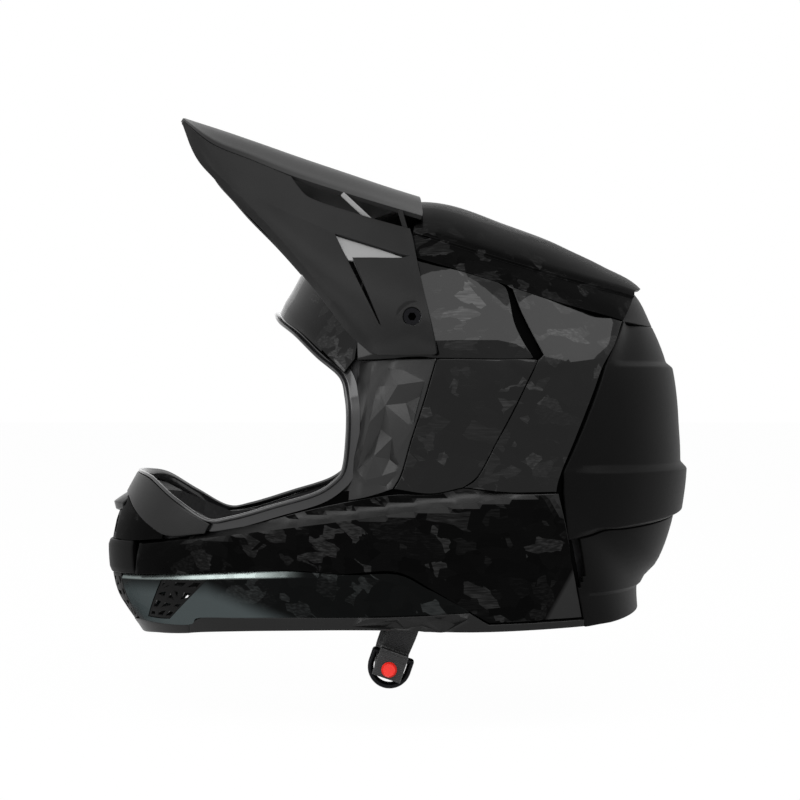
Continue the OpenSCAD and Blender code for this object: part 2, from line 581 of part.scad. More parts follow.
// Hard foam bowl round the head.
liner_columns = 48;
liner_rows = 16;
module crown_liner() {
    turns = [for (j = [0:liner_columns - 1]) 360 * j / liner_columns];
    function rim(a) = lookup(min(a, 360 - a), rim_rise);
    outer = [for (i = [0:liner_rows - 1]) [for (a = turns) liner_face(a, blend(rim(a), 90, i / liner_rows))]];
    inner = [for (i = [0:liner_rows - 1]) [for (a = turns) head_wall(a, blend(rim(a), 90, i / liner_rows))]];
    n = liner_columns;
    count = n * liner_rows;
    tops = [liner_face(0, 90), head_wall(0, 90)];
    around = [for (j = [0:n - 1]) let (k = (j + 1) % n) each concat(
        [for (i = [0:liner_rows - 2]) let (a = i * n) each [
            [a + j, a + n + k, a + k], [a + j, a + n + j, a + n + k],
            [count + a + j, count + a + k, count + a + n + k], [count + a + j, count + a + n + k, count + a + n + j]]],
        [[count - n + j, 2 * count, count - n + k], [2 * count - n + j, 2 * count - n + k, 2 * count + 1]],
        [[j, k, count + k], [j, count + k, count + j]])];
    color("#3a3b3d") difference() {
        polyhedron(points = concat([for (r = outer) each r], [for (r = inner) each r], tops), faces = around,
            convexity = 8);
        for (side = [0, 1]) mirror([0, side, 0]) {
            along_pivot(insert_face - insert_length - 1, pivot_half + 20)
                circle(d = insert_diameter + 3, $fn = 32);
            along_rivet(rivet_head_face - 2, body_half + 20) circle(d = rivet_shank + 2 * rivet_clearance, $fn = 32);
            along_rivet(rivet_end - rivet_cap_height - layer_gap / 2, body_half + 20)
                circle(d = rivet_cap + layer_gap, $fn = 32);
        }
    }
}

// Hard foam of the chin bar, open behind the grilles.
chin_depth = 1.5 * shell_wall + layer_gap + 0.2;
chin_rails = [
    [[-92, -103, -57, -chin_depth], [-118, -94, -64, -chin_depth], [-145, -83, -71.5, -chin_depth],
        [-163, -70, -72.5, -chin_depth], [-180, -57, -63, -chin_depth], [-196, -38, -52, -chin_depth],
        [-206, 0, -48, -chin_depth]],
    [[-92, -99, -97, -chin_depth], [-118, -88, -97, -chin_depth], [-145, -77, -97, -chin_depth],
        [-163, -68, -98, -chin_depth], [-184, -56, -98, -chin_depth], [-206, -36, -99, -chin_depth],
        [-223, 0, -99, -chin_depth]],
    [[-92, -90, -127, -chin_depth], [-118, -82, -127, -chin_depth], [-145, -72, -127, -chin_depth],
        [-160, -63, -128, -chin_depth], [-180, -50, -131, -chin_depth], [-196, -34, -132, -chin_depth],
        [-213, 0, -132, -chin_depth]]];
chin_grid = whole(placed(chin_rails, 1, 2));
module chin_liner() {
    color("#3a3b3d") sheet(chin_grid, sunk(chin_grid, chin_liner_thick), [[2, 4, 3, 9]]);
}

// Soft pads: crowned forms on the inner face of the hard foam, drawn in between their corners.
pad_pull = 0.08;
pad_edge = 0.2;
channel_width = 0.05;
channel_depth = 0.5;
function edge_fall(t) = pow(max(0, 1 - pow(abs(2 * t - 1), 5)), 0.6);
function drawn(t, s) = 0.5 + (t - 0.5) * (1 - pad_pull * (1 - pow(2 * s - 1, 2)));
function channels(t, list, i = 0) = i == len(list) ? 1 :
    (1 - channel_depth * exp(-pow((t - list[i]) / channel_width, 2))) * channels(t, list, i + 1);
function towards_head(p, t) = let (m = [head_middle[0], 0, min(head_middle[2], p[2])], v = p - m)
    p - v * t / norm(v);
function round_ray(turns, rises) = function (u, v) ray(blend(turns[0], turns[1], u), blend(rises[0], rises[1], v));
function wall_point(d) = d * reach(head_shape, [0, 0, 0], d);

module pad(direction, thick, columns, rows, back_gap = pad_gap, cuts = [], ribs = []) {
    function base(u, v) = wall_point(direction(drawn(u, v), drawn(v, u)));
    function fill_of(u, v) = pad_edge + (1 - pad_edge) * edge_fall(u) * edge_fall(v)
        * channels(u, cuts) * channels(v, ribs);
    steps_u = [for (j = [0:columns]) j / columns];
    steps_v = [for (i = [0:rows]) i / rows];
    back = [for (v = steps_v) [for (u = steps_u) towards_head(base(u, v), back_gap)]];
    front = [for (v = steps_v) [for (u = steps_u) towards_head(base(u, v), back_gap + thick * fill_of(u, v))]];
    color("#202124") sheet(back, front);
}

module crown_pad_left() {
    pad(round_ray([24, 156], [39, 56]), crown_pad_thick, 18, 6, cuts = [0.33, 0.66]);
}

module crown_pad_right() {
    right_side() crown_pad_left();
}

top_pad_size = [94, 44];
module top_pad() {
    up = function (u, v) let (d = [head_middle[0] + (u - 0.5) * top_pad_size[0], (v - 0.5) * top_pad_size[1],
        head_room_height + head_middle[2]]) d / norm(d);
    pad(up, crown_pad_thick, 14, 7, cuts = [0.33, 0.66]);
}

module brow_pad() {
    pad(round_ray([-56, 56], [24, 35]), brow_pad_thick, 24, 5, cuts = [0.2, 0.4, 0.6, 0.8]);
}

module temple_pad_left() {
    pad(round_ray([66, 116], [-10, 20]), crown_pad_thick, 9, 6, cuts = [0.5]);
}

module temple_pad_right() {
    right_side() temple_pad_left();
}

module neck_pad() {
    pad(round_ray([130, 230], [-38, -12]), crown_pad_thick, 18, 6, cuts = [0.25, 0.5, 0.75], ribs = [0.5]);
}

// Cheek pad, thick enough to meet the cheek. The strap runs behind it.
cheek_back_gap = 7;
module cheek_pad_left() {
    pad(round_ray([66, 114], [-41, -15]), cheek_pad_thick, 11, 9, back_gap = cheek_back_gap, cuts = [0.4],
        ribs = [0.55]);
}

module cheek_pad_right() {
    right_side() cheek_pad_left();
}

// Press studs that hold each cheek pad on the hard foam.
snap_diameter = 9;
snap_gap = 0.7;
module pad_snaps() {
    for (side = [0, 1], place = [[74, -20], [106, -20], [98, -37]]) mirror([0, side, 0]) {
        wall = wall_point(ray(place[0], place[1]));
        inside = towards_head(wall, snap_gap);
        aim = towards_head(wall, cheek_back_gap - 0.3) - inside;
        color("#151515") translate(inside) rotate([0, 90, atan2(aim[1], aim[0])])
            cylinder(h = norm(aim), d = snap_diameter, $fn = 32);
    }
}

// Thin comfort pad on the inner face of the chin bar.
chin_pad_thick = 3;
module chin_pad() {
    fine = grid(chin_grid, 2, 4);
    rows = [for (i = [2:7]) [for (j = [4:20]) out(fine[i][j], -(chin_liner_thick + pad_gap))]];
    n = len(rows[0]) - 1;
    m = len(rows) - 1;
    front = [for (i = [0:m]) [for (j = [0:n])
        out(rows[i][j], -chin_pad_thick * (pad_edge + (1 - pad_edge) * edge_fall(i / m) * edge_fall(j / n)))]];
    color("#202124") sheet(rows, front);
}

// Rubber bead round the eye opening, just outside the edges of the panels.
bead_radius = 1.1;
bead_lift = -1.2;
bead_half = [[-125.2, 0, 56.6], [-124, -21, 53.6], [-120, -42, 48.2], [-109.8, -63, 40], [-93.6, -80, 25],
    [-79.6, -94, 12.4], [-76.8, -99, 3], [-75.9, -104, -14], [-79.6, -107, -41], [-84, -106, -46.4],
    [-93, -103, -51.2], [-118, -93, -58.2], [-145, -83, -65.8], [-158.4, -77, -67.6], [-178.6, -64, -56.8],
    [-196.8, -42, -45.6], [-206.6, -22, -42.2], [-210, 0, -41.6]];
module eye_bead() {
    half = [for (q = refine(bead_half, 2)) on_body([q[0], q[1], q[2], bead_lift])];
    n = len(half) - 1;
    path = concat(half, [for (i = [n - 1:-1:1]) [half[i][0], -half[i][1], half[i][2]]]);
    count = len(path);
    around = 6;
    rings = [for (i = [0:count - 1])
        let (t = path[(i + 1) % count] - path[(i + count - 1) % count], side = cross(t, outward(path[i])),
             a = side / norm(side), b = cross(t, a) / norm(cross(t, a)))
        [for (k = [0:around - 1]) path[i] + bead_radius * (cos(60 * k) * a + sin(60 * k) * b)]];
    faces = [for (i = [0:count - 1]) for (k = [0:around - 1])
        let (p = i * around + k, q = i * around + (k + 1) % around, j = ((i + 1) % count) * around)
        each [[q, p, j + (k + 1) % around], [j + (k + 1) % around, p, j + k]]];
    color("#101011") polyhedron(points = [for (r = rings) each r], faces = faces, convexity = 8);
}

// Flat webbing along a path, with the direction of its width at each point.
module webbing(path, widths) {
    n = len(path) - 1;
    thick = [for (i = [0:n]) let (c = cross(widths[i], path[at_end(i + 1, n)] - path[at_end(i - 1, n)]))
        c * strap_thick / 2 / norm(c)];
    half = strap_width / 2;
    outer = [for (i = [0:n]) [path[i] - widths[i] * half + thick[i], path[i] + thick[i],
        path[i] + widths[i] * half + thick[i]]];
    inner = [for (i = [0:n]) [path[i] - widths[i] * half - thick[i], path[i] - thick[i],
        path[i] + widths[i] * half - thick[i]]];
    sheet(outer, inner);
}

// Anchor of the strap on each side, and the buckle that hangs from the left one.
rivet = [-30 * stretch[0], -62 * stretch[2]];
rivet_half = half_width(rivet[0], rivet[1]);
rivet_shank = 4;
rivet_clearance = 0.2;
rivet_head = 11;
rivet_head_height = 1.4;
rivet_cap = 9;
rivet_cap_height = 1;
rivet_washer_gap = 1.5;
strap_play = 0.6;
rivet_wall = -wall_point([rivet[0], -head_room_width / 2 + 2, rivet[1]]
    / norm([rivet[0], -head_room_width / 2 + 2, rivet[1]]))[1];
rivet_head_face = rivet_wall - strap_play - strap_thick - rivet_washer_gap;
rivet_end = rivet_half - shell_wall - layer_gap - liner_gap - low_clearance;

module along_rivet(from, to) {
    translate([rivet[0], -to, rivet[1]]) rotate([-90, 0, 0]) linear_extrude(to - from) children();
}

module strap_rivet_left() {
    color("silver") {
        along_rivet(rivet_head_face - rivet_head_height, rivet_head_face) circle(d = rivet_head, $fn = 40);
        along_rivet(rivet_head_face - 0.5, rivet_end - 0.5) circle(d = rivet_shank, $fn = 32);
        along_rivet(rivet_end - rivet_cap_height, rivet_end) circle(d = rivet_cap, $fn = 40);
    }
}

module strap_rivet_right() {
    right_side() strap_rivet_left();
}

buckle_tilt = 19;
buckle = [-50.5, -75.5, -149] + [rivet[0] + 30, head_room_width / -2 + 86, rivet[1] + 62];
bar_spacing = ring_wire + 0.8;
loop_wall = strap_thick;
loop_radius = ring_wire / 2 + ring_clearance + loop_wall;
ring_width = strap_width + 2 * ring_side_gap;
strap_drop = [[2, 8, 0.4], [0, 0, 0], [-4, -23, 1.2], [-9, -48, 2.8], [-13.5, -69, 4.2]];
strap_tilts = [12, 12, 12, 13, 16];
strap_yaws = [14, 14, 15, 12, 6];
neck_length = 4;

module at_buckle() {
    translate(buckle) rotate([0, buckle_tilt, 0]) children();
}

function width_at(tilt, yaw = 0) = [cos(tilt) * cos(yaw), sin(yaw), -sin(tilt) * cos(yaw)];
function from_buckle(p) = buckle + [p[0] * cos(buckle_tilt) + p[2] * sin(buckle_tilt), p[1],
    p[2] * cos(buckle_tilt) - p[0] * sin(buckle_tilt)];
function strap_start(side) = [for (q = strap_drop) [rivet[0] + q[0],
    side * (rivet_wall - strap_play - strap_thick / 2 - q[2]), rivet[1] + q[1]]];

module strap_left() {
    path = concat(strap_start(-1), [from_buckle([0, 0, loop_radius])]);
    color("#1a1a1b") difference() {
        union() {
            webbing(path, concat([for (i = [0:4]) width_at(strap_tilts[i], -strap_yaws[i])],
                [width_at(buckle_tilt)]));
            at_buckle() {
                for (y = [-0.5, 0.5]) translate([-strap_width / 2, y * bar_spacing, 0]) rotate([0, 90, 0])
                    cylinder(h = strap_width, r = loop_radius, $fn = 48);
                translate([-strap_width / 2, -bar_spacing / 2, -loop_radius])
                    cube([strap_width, bar_spacing, 2 * loop_radius]);
            }
        }
        at_buckle() for (y = [-0.5, 0.5]) translate([-strap_width, y * bar_spacing, 0]) rotate([0, 90, 0])
            cylinder(h = 2 * strap_width, d = ring_wire + 2 * ring_clearance, $fn = 48);
        along_rivet(rivet_head_face - 2, rivet_wall + 2) circle(d = rivet_shank + 2 * rivet_clearance, $fn = 32);
    }
}

// The long strap crosses under the chin, goes out through both rings and turns down.
crossing = -(ring_wire / 2 + ring_depth / 2);
fold = ring_wire + bar_spacing / 2 + strap_thick / 2 - 0.2;
tail_end = -(ring_wire / 2 + ring_depth + ring_wire / 2 + 1);
module strap_right() {
    under_chin = [[-45, 70, -136], [-50, 57, -149], [-53, 34, -155.5], [-54, 0, -157.5], [-54, -34, -157.8]];
    into_rings = [for (p = [[0, 14, crossing + 0.4], [0, 0, crossing], [0, -fold + 2.2, crossing - 0.2],
        [0, -fold + 0.7, crossing - 0.9], [0, -fold, crossing - 2.6], [0, -fold, tail_end]]) from_buckle(p)];
    start = [for (i = [0:3]) strap_start(1)[i]];
    path = concat(start, under_chin, into_rings);
    tilts = concat([for (i = [0:3]) strap_tilts[i]], [16, 18, 19, 19, 19, 19, 19, 19, 19, 19, 19]);
    yaws = concat([for (i = [0:3]) strap_yaws[i]], [4, 0, 0, 0, 0, 0, 0, 0, 0, 0, 0]);
    color("#1a1a1b") difference() {
        webbing(path, [for (i = [0:14]) width_at(tilts[i], yaws[i])]);
        mirror([0, 1, 0]) along_rivet(rivet_head_face - 2, rivet_wall + 2)
            circle(d = rivet_shank + 2 * rivet_clearance, $fn = 32);
        stud_post(stud_post_width + 0.4);
    }
}

// Folded end of the long strap, held down by the press stud.
tail_top = 3;
tail_thick = 1.6 * strap_thick;
tail_back = fold + strap_thick / 2 + 0.4;
stud_height = 1.6;
stud_post_width = 4;
stud_level = (tail_top + tail_end) / 2 + 0.6;
module stud_post(width) {
    at_buckle() translate([0, -tail_back - tail_thick, stud_level]) rotate([-90, 0, 0])
        cylinder(h = tail_thick + 0.4 + strap_thick, d = width, $fn = 32);
}

module strap_tail() {
    color("#1a1a1b") difference() {
        at_buckle() translate([-strap_width / 2, -tail_back - tail_thick, tail_end - 1])
            cube([strap_width, tail_thick, tail_top - tail_end + 1]);
        stud_post(stud_post_width + 0.4);
    }
}

module press_stud() {
    color("#f02a20") {
        stud_post(stud_post_width);
        at_buckle() translate([0, -tail_back - tail_thick - stud_height - 0.1, stud_level]) rotate([-90, 0, 0])
            cylinder(h = stud_height, d1 = stud_diameter - 2, d2 = stud_diameter, $fn = 48);
        at_buckle() translate([0, -tail_back - tail_thick - 0.2, stud_level]) rotate([-90, 0, 0])
            cylinder(h = 0.3, d = stud_post_width, $fn = 32);
    }
}

module ring(side) {
    straight = ring_depth - ring_width / 2;
    bend = (ring_width + ring_wire) / 2;
    color("#202020") at_buckle() translate([0, side * bar_spacing / 2, 0]) {
        translate([-bend, 0, 0]) rotate([0, 90, 0]) cylinder(h = 2 * bend, d = ring_wire, $fn = 48);
        for (x = [-bend, bend]) {
            translate([x, 0, 0]) sphere(d = ring_wire, $fn = 48);
            translate([x, 0, -straight - ring_wire / 2])
                cylinder(h = straight + ring_wire / 2, d = ring_wire, $fn = 48);
        }
        translate([0, 0, -straight - ring_wire / 2]) rotate([90, 0, 0]) rotate([0, 0, 180])
            rotate_extrude(angle = 180, $fn = 64) translate([bend, 0]) circle(d = ring_wire, $fn = 32);
    }
}

module ring_outer() {
    ring(-1);
}

module ring_inner() {
    ring(1);
}

roof_shell();
forehead_shell();
side_shell_left();
side_shell_right();
rear_side_shell_left();
rear_side_shell_right();
cheek_shell_left();
cheek_shell_right();
jaw_shell_left();
jaw_shell_right();
cheek_trim_left();
cheek_trim_right();
nose_trim();
nose_shell_left();
nose_shell_right();
nose_vent();
chin_bumper();
lower_chin_left();
lower_chin_right();
side_grille_left();
side_grille_right();
front_grille();
bottom_trim_left();
bottom_trim_right();
front_trim();
rear_shell();
rear_bridge();
neck_shell();
eye_bead();
crown_liner();
chin_liner();
crown_pad_left();
crown_pad_right();
top_pad();
brow_pad();
temple_pad_left();
temple_pad_right();
neck_pad();
cheek_pad_left();
cheek_pad_right();
pad_snaps();
chin_pad();
visor();
visor_screw_left();
visor_screw_right();
visor_insert_left();
visor_insert_right();
strap_rivet_left();
strap_rivet_right();
strap_left();
strap_right();
strap_tail();
press_stud();
ring_outer();
ring_inner();
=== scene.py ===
import bpy, bmesh, math, random
import numpy as np
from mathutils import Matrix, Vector
from mathutils.geometry import delaunay_2d_cdt


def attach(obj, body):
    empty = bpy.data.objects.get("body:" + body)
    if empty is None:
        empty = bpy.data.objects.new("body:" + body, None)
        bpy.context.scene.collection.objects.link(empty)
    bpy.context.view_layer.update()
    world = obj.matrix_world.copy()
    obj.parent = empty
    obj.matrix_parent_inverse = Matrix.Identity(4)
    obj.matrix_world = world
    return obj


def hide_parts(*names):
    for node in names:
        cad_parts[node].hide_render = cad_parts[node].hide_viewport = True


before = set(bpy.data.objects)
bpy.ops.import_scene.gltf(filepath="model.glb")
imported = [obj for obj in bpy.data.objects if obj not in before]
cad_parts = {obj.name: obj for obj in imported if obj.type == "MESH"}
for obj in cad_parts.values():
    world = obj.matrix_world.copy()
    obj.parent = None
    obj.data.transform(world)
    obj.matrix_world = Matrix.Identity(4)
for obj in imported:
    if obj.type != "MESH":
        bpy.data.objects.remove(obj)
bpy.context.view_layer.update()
scene = bpy.context.scene
scene.view_settings.view_transform = "Standard"
print("frame loaded:", len(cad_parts), "nodes")


def addObject(name, data):
    made = bpy.data.objects.new(name, data)
    scene.collection.objects.link(made)
    return made


# the camera looks level along +Y, 1.25 m from the helmet's middle plane
cameraPlace = {"place": (-0.0465, -1.25, 0.0), "turn": (math.pi / 2, 0, 0), "lens": 90.73, "sensor": 36.0, "near": 0.05}
camera = addObject("camera", bpy.data.cameras.new("camera"))
camera.location, camera.rotation_euler = cameraPlace["place"], cameraPlace["turn"]
camera.data.lens, camera.data.sensor_width = cameraPlace["lens"], cameraPlace["sensor"]
camera.data.clip_start = cameraPlace["near"]
scene.camera = camera


def toLinear(hexColour):
    # sRGB hex to the linear colour that Blender's sockets hold
    values = [int(hexColour[i:i + 2], 16) / 255 for i in (1, 3, 5)]
    return [v / 12.92 if v <= 0.04045 else ((v + 0.055) / 1.055) ** 2.4 for v in values] + [1.0]


def feed(tree, node, inputs):
    # values and links by socket, or in the sockets' order; a node stands for its first output
    for name, value in (dict(enumerate(inputs)) if isinstance(inputs, tuple) else inputs).items():
        if isinstance(value, bpy.types.Node):
            value = value.outputs[0]
        if isinstance(value, bpy.types.NodeSocket):
            tree.links.new(value, node.inputs[name])
        else:
            node.inputs[name].default_value = value


def addNode(tree, kind, inputs=(), stops=(), **settings):
    # one node with its settings, a ramp's stops, and its values and links
    node = tree.nodes.new(kind)
    for name, value in settings.items():
        setattr(node, name, value)
    for number, (place, colour) in enumerate(stops):
        elements = node.color_ramp.elements
        element = elements[number] if number < len(elements) else elements.new(place)
        element.position, element.color = place, toLinear(colour)
    feed(tree, node, inputs)
    return node


def emptyTree(owner):
    owner.use_nodes = True
    owner.node_tree.nodes.clear()
    return owner.node_tree


def seenBy(tree, kinds):
    # 1 on rays of these kinds
    paths = addNode(tree, "ShaderNodeLightPath")
    seen = paths.outputs[kinds[0]]
    for kind in kinds[1:]:
        seen = addNode(tree, "ShaderNodeMath", (seen, paths.outputs[kind]), operation="MAXIMUM")
    return seen


# studio: big soft boxes, a pale floor, and a white surround that only the eye and reflections see
studio = {
    "worldSoft": 0.38, "floorDrop": -0.192, "floorGlow": 0.98,
    "boxes": [  # name, place, aim, width, height, watts
        ("keyBox", (-0.15, -1.35, 1.3), (-0.05, 0, 0.02), 2.2, 1.1, 22.5),
        ("frontBox", (-1.4, -0.95, 0.3), (-0.12, 0, 0.0), 0.7, 0.8, 7.0),
        ("rearBox", (1.15, -0.7, 1.3), (0.05, 0, 0.03), 1.1, 0.9, 8.5),
        ("topBox", (-0.2, 0.45, 1.5), (-0.05, 0, 0.0), 1.2, 0.8, 0.6),
        ("farBox", (-0.3, 1.5, 0.55), (-0.05, 0, 0.0), 1.2, 0.8, 1.5),
    ],
}
white = toLinear("#FFFFFF")
scene.world = bpy.data.worlds.new("studioWorld")
tree = emptyTree(scene.world)
seen = seenBy(tree, ("Is Camera Ray", "Is Glossy Ray", "Is Transmission Ray"))
strength = addNode(tree, "ShaderNodeMapRange", {0: seen, "To Min": studio["worldSoft"]})
addNode(tree, "ShaderNodeOutputWorld", (addNode(tree, "ShaderNodeBackground", (white, strength)),))
for name, place, aim, width, height, watts in studio["boxes"]:
    light = bpy.data.lights.new(name, "AREA")
    light.shape, light.size, light.size_y, light.energy = "RECTANGLE", width, height, watts
    lamp = addObject(name, light)
    lamp.location = place
    lamp.rotation_euler = (Vector(aim) - Vector(place)).to_track_quat("-Z", "Y").to_euler()

floorMaterial = bpy.data.materials.new("paleBackdropPaper")  # matte paper: a white field that keeps the shadow
tree = emptyTree(floorMaterial)
plain = addNode(tree, "ShaderNodeBsdfDiffuse", (white, 0.4))
glow = addNode(tree, "ShaderNodeEmission", (white, 1.0))
seen = seenBy(tree, ("Is Camera Ray", "Is Glossy Ray"))
share = addNode(tree, "ShaderNodeMath", (seen, studio["floorGlow"]), operation="MULTIPLY")
addNode(tree, "ShaderNodeOutputMaterial", (addNode(tree, "ShaderNodeMixShader", (share, plain, glow)),))
floorMesh = bpy.data.meshes.new("floor")
floorMesh.from_pydata([(x, y, studio["floorDrop"]) for x, y in ((-14, -9), (14, -9), (14, 16), (-14, 16))], [],
                      [(0, 1, 2, 3)])
floorMesh.materials.append(floorMaterial)
addObject("floor", floorMesh)
print("camera, lights and floor set")


def newMaterial(name, **sockets):
    # a Principled shader with its constants, its tree to add patterns to, and the place on the object in mm
    material = bpy.data.materials.new(name)
    tree = emptyTree(material)
    shader = addNode(tree, "ShaderNodeBsdfPrincipled", {key.replace("_", " "): value for key, value in sockets.items()})
    addNode(tree, "ShaderNodeOutputMaterial", (shader,))
    places = addNode(tree, "ShaderNodeTexCoord").outputs["Object"]
    inMm = addNode(tree, "ShaderNodeVectorMath", {0: places, "Scale": 1000.0}, operation="SCALE")
    return material, tree, shader, inMm


# forged carbon's chips, layer by layer: how each layer is turned, and a chip's size in mm
chipLayers = [((0.3, 0.5, 0.9), (17, 12, 10)), ((0.2, 0.9, -0.3), (9, 12, 20)),
              ((-0.3, -0.7, 0.2), (8, 9, 17)), ((0.2, 0.1, 0.4), (19, 9, 8))]
chipStops = (0.0, 0.7, 0.8, 0.92, 1.0)
onTopOver = 0.62


def forgedCarbon(name, colours, rough, coat, coatIor, tilt, edge="#7A7A7A", paintedReflection=False, paintedUpLight=False):
    # forged carbon, chopped tow pressed in a mould under clear lacquer: flat chips that catch the light in turn
    material, tree, shader, inMm = newMaterial(name, Metallic=0.92, Coat_Weight=coat, Coat_IOR=coatIor,
                                               Coat_Roughness=0.05, Specular_Tint=toLinear(edge))
    tone = lean = None
    for turn, size in chipLayers:
        turned = addNode(tree, "ShaderNodeMapping", {"Vector": inMm, "Rotation": turn, "Scale": size},
                         vector_type="TEXTURE")
        chips = addNode(tree, "ShaderNodeTexVoronoi", {"Vector": turned, "Scale": 1.0}, distance="CHEBYCHEV")
        chip = chips.outputs["Color"]
        parts = addNode(tree, "ShaderNodeSeparateColor", (chip,))
        if tone is None:
            tone, lean = parts, chip
            continue
        # a later layer lies over the earlier ones where its own chip is on top
        onTop = addNode(tree, "ShaderNodeMath", (parts.outputs[2], onTopOver), operation="GREATER_THAN")
        tone = addNode(tree, "ShaderNodeMix", {0: onTop, 2: tone, 3: parts})
        lean = addNode(tree, "ShaderNodeMix", {0: onTop, 6: lean, 7: chip}, data_type="RGBA").outputs[2]
    # fibres run along each chip, drawn 0.5 mm apart so that they show
    threads = addNode(tree, "ShaderNodeMapping",
                      {"Vector": inMm, "Rotation": (0.4, 0.3, 0.6), "Scale": (0.1, 1.1, 1.1)})
    fibres = addNode(tree, "ShaderNodeTexNoise", {"Vector": threads, "Scale": 1.0})
    shade = addNode(tree, "ShaderNodeMath", (fibres, 0.5, -0.27), operation="MULTIPLY_ADD")
    total = addNode(tree, "ShaderNodeMath", (tone, shade))
    colour = addNode(tree, "ShaderNodeValToRGB", (total,), list(zip(chipStops, colours.split())))
    spot = addNode(tree, "ShaderNodeSeparateXYZ", (inMm,)).outputs
    if paintedReflection:
        # painted reflection: towards the nose the colour turns to an even grey, standing in for the studio mirrored in
        # the lacquer
        past = addNode(tree, "ShaderNodeMapRange", (spot[0], -160.0, -60.0, 0.0, 38.0))
        slant = addNode(tree, "ShaderNodeMath", (spot[2], past))
        front = addNode(tree, "ShaderNodeMapRange", (slant, -117.0, -104.0, 1.0, 0.0), interpolation_type="SMOOTHSTEP")
        grey = addNode(tree, "ShaderNodeMix", {0: front, 6: colour, 7: toLinear("#444B4C")},
                       data_type="RGBA").outputs[2]
        # and a painted highlight: a thin silver line along its chamfer
        rise = addNode(tree, "ShaderNodeMath", (spot[0], -0.052, spot[2]), operation="MULTIPLY_ADD")
        lit = addNode(tree, "ShaderNodeMapRange", (rise, -97.0, -96.2))
        near = addNode(tree, "ShaderNodeMapRange", (spot[0], -140.0, -100.0, 1.0, 0.0), interpolation_type="SMOOTHSTEP")
        share = addNode(tree, "ShaderNodeMath", (lit, near), operation="MULTIPLY")
        colour = addNode(tree, "ShaderNodeMix", {0: share, 6: grey, 7: toLinear("#7C8583")},
                         data_type="RGBA").outputs[2]
    if paintedUpLight:
        # painted light: where the jaw leans up, its colour is lifted towards grey as if lit from above
        up = addNode(tree, "ShaderNodeSeparateXYZ", (addNode(tree, "ShaderNodeNewGeometry").outputs["True Normal"],))
        lit = addNode(tree, "ShaderNodeMapRange", (up.outputs[2], -0.06, 0.0))
        near = addNode(tree, "ShaderNodeMapRange", (spot[0], -175.0, -120.0, 0.0, 0.8), interpolation_type="SMOOTHSTEP")
        low = addNode(tree, "ShaderNodeMapRange", (spot[2], -40.0, -30.0, 1.0, 0.0))
        share = addNode(tree, "ShaderNodeMath", (lit, near), operation="MULTIPLY")
        share = addNode(tree, "ShaderNodeMath", (share, low), operation="MULTIPLY")
        # and painted light on the last facet before the neck
        back = addNode(tree, "ShaderNodeMath", (spot[2], -0.542, spot[0]), operation="MULTIPLY_ADD")
        facet = addNode(tree, "ShaderNodeMapRange", (back, 103.5, 106.5, 0.0, 0.75))
        share = addNode(tree, "ShaderNodeMath", (share, facet), operation="MAXIMUM")
        colour = addNode(tree, "ShaderNodeMix", {0: share, 6: colour, 7: toLinear("#333333")},
                         data_type="RGBA").outputs[2]
    centred = addNode(tree, "ShaderNodeVectorMath", (lean, (0.5, 0.5, 0.5)), operation="SUBTRACT")
    scaled = addNode(tree, "ShaderNodeVectorMath", {0: centred, "Scale": tilt}, operation="SCALE")
    facing = addNode(tree, "ShaderNodeNewGeometry").outputs["Normal"]
    leant = addNode(tree, "ShaderNodeVectorMath", (facing, scaled))
    roughness = addNode(tree, "ShaderNodeMapRange", {0: tone, 3: rough[0], 4: rough[1]})
    feed(tree, shader, {"Base Color": colour, "Roughness": roughness,
                        "Normal": addNode(tree, "ShaderNodeVectorMath", (leant,), operation="NORMALIZE")})
    return material


def mouldedPlastic(name, dark, light, rough, grain, bump, coat=0.0, shine=0.18):
    # injection moulded nylon with a spark-eroded mould: an even satin skin with a fine grain
    material, tree, shader, inMm = newMaterial(name, Coat_Weight=coat, Coat_Roughness=0.12, Specular_IOR_Level=shine)
    fine = addNode(tree, "ShaderNodeTexNoise", {"Vector": inMm, "Scale": 1.0 / grain})
    broad = addNode(tree, "ShaderNodeTexNoise", {"Vector": inMm, "Scale": 0.018, "Detail": 3.0})
    feed(tree, shader, {
        "Base Color": addNode(tree, "ShaderNodeValToRGB", (broad,), [(0.3, dark), (0.7, light)]),
        "Roughness": addNode(tree, "ShaderNodeMapRange", {0: fine, 3: rough - 0.07, 4: rough + 0.07}),
        "Normal": addNode(tree, "ShaderNodeBump", {"Height": fine, "Strength": bump, "Distance": 0.0002})})
    return material


def beadFoam():
    # expanded polystyrene, steam-moulded beads about 3 mm wide: a dull black skin with a bead pattern
    material, tree, shader, inMm = newMaterial("beadFoam", Roughness=0.78)
    beads = addNode(tree, "ShaderNodeTexVoronoi", {"Vector": inMm, "Scale": 0.33}, feature="SMOOTH_F1")
    feed(tree, shader, {
        "Base Color": addNode(tree, "ShaderNodeValToRGB", (beads,), [(0.1, "#1F1F20"), (0.8, "#121213")]),
        "Normal": addNode(tree, "ShaderNodeBump", {"Height": beads, "Strength": 0.5, "Distance": 0.0004}, invert=True)})
    return material


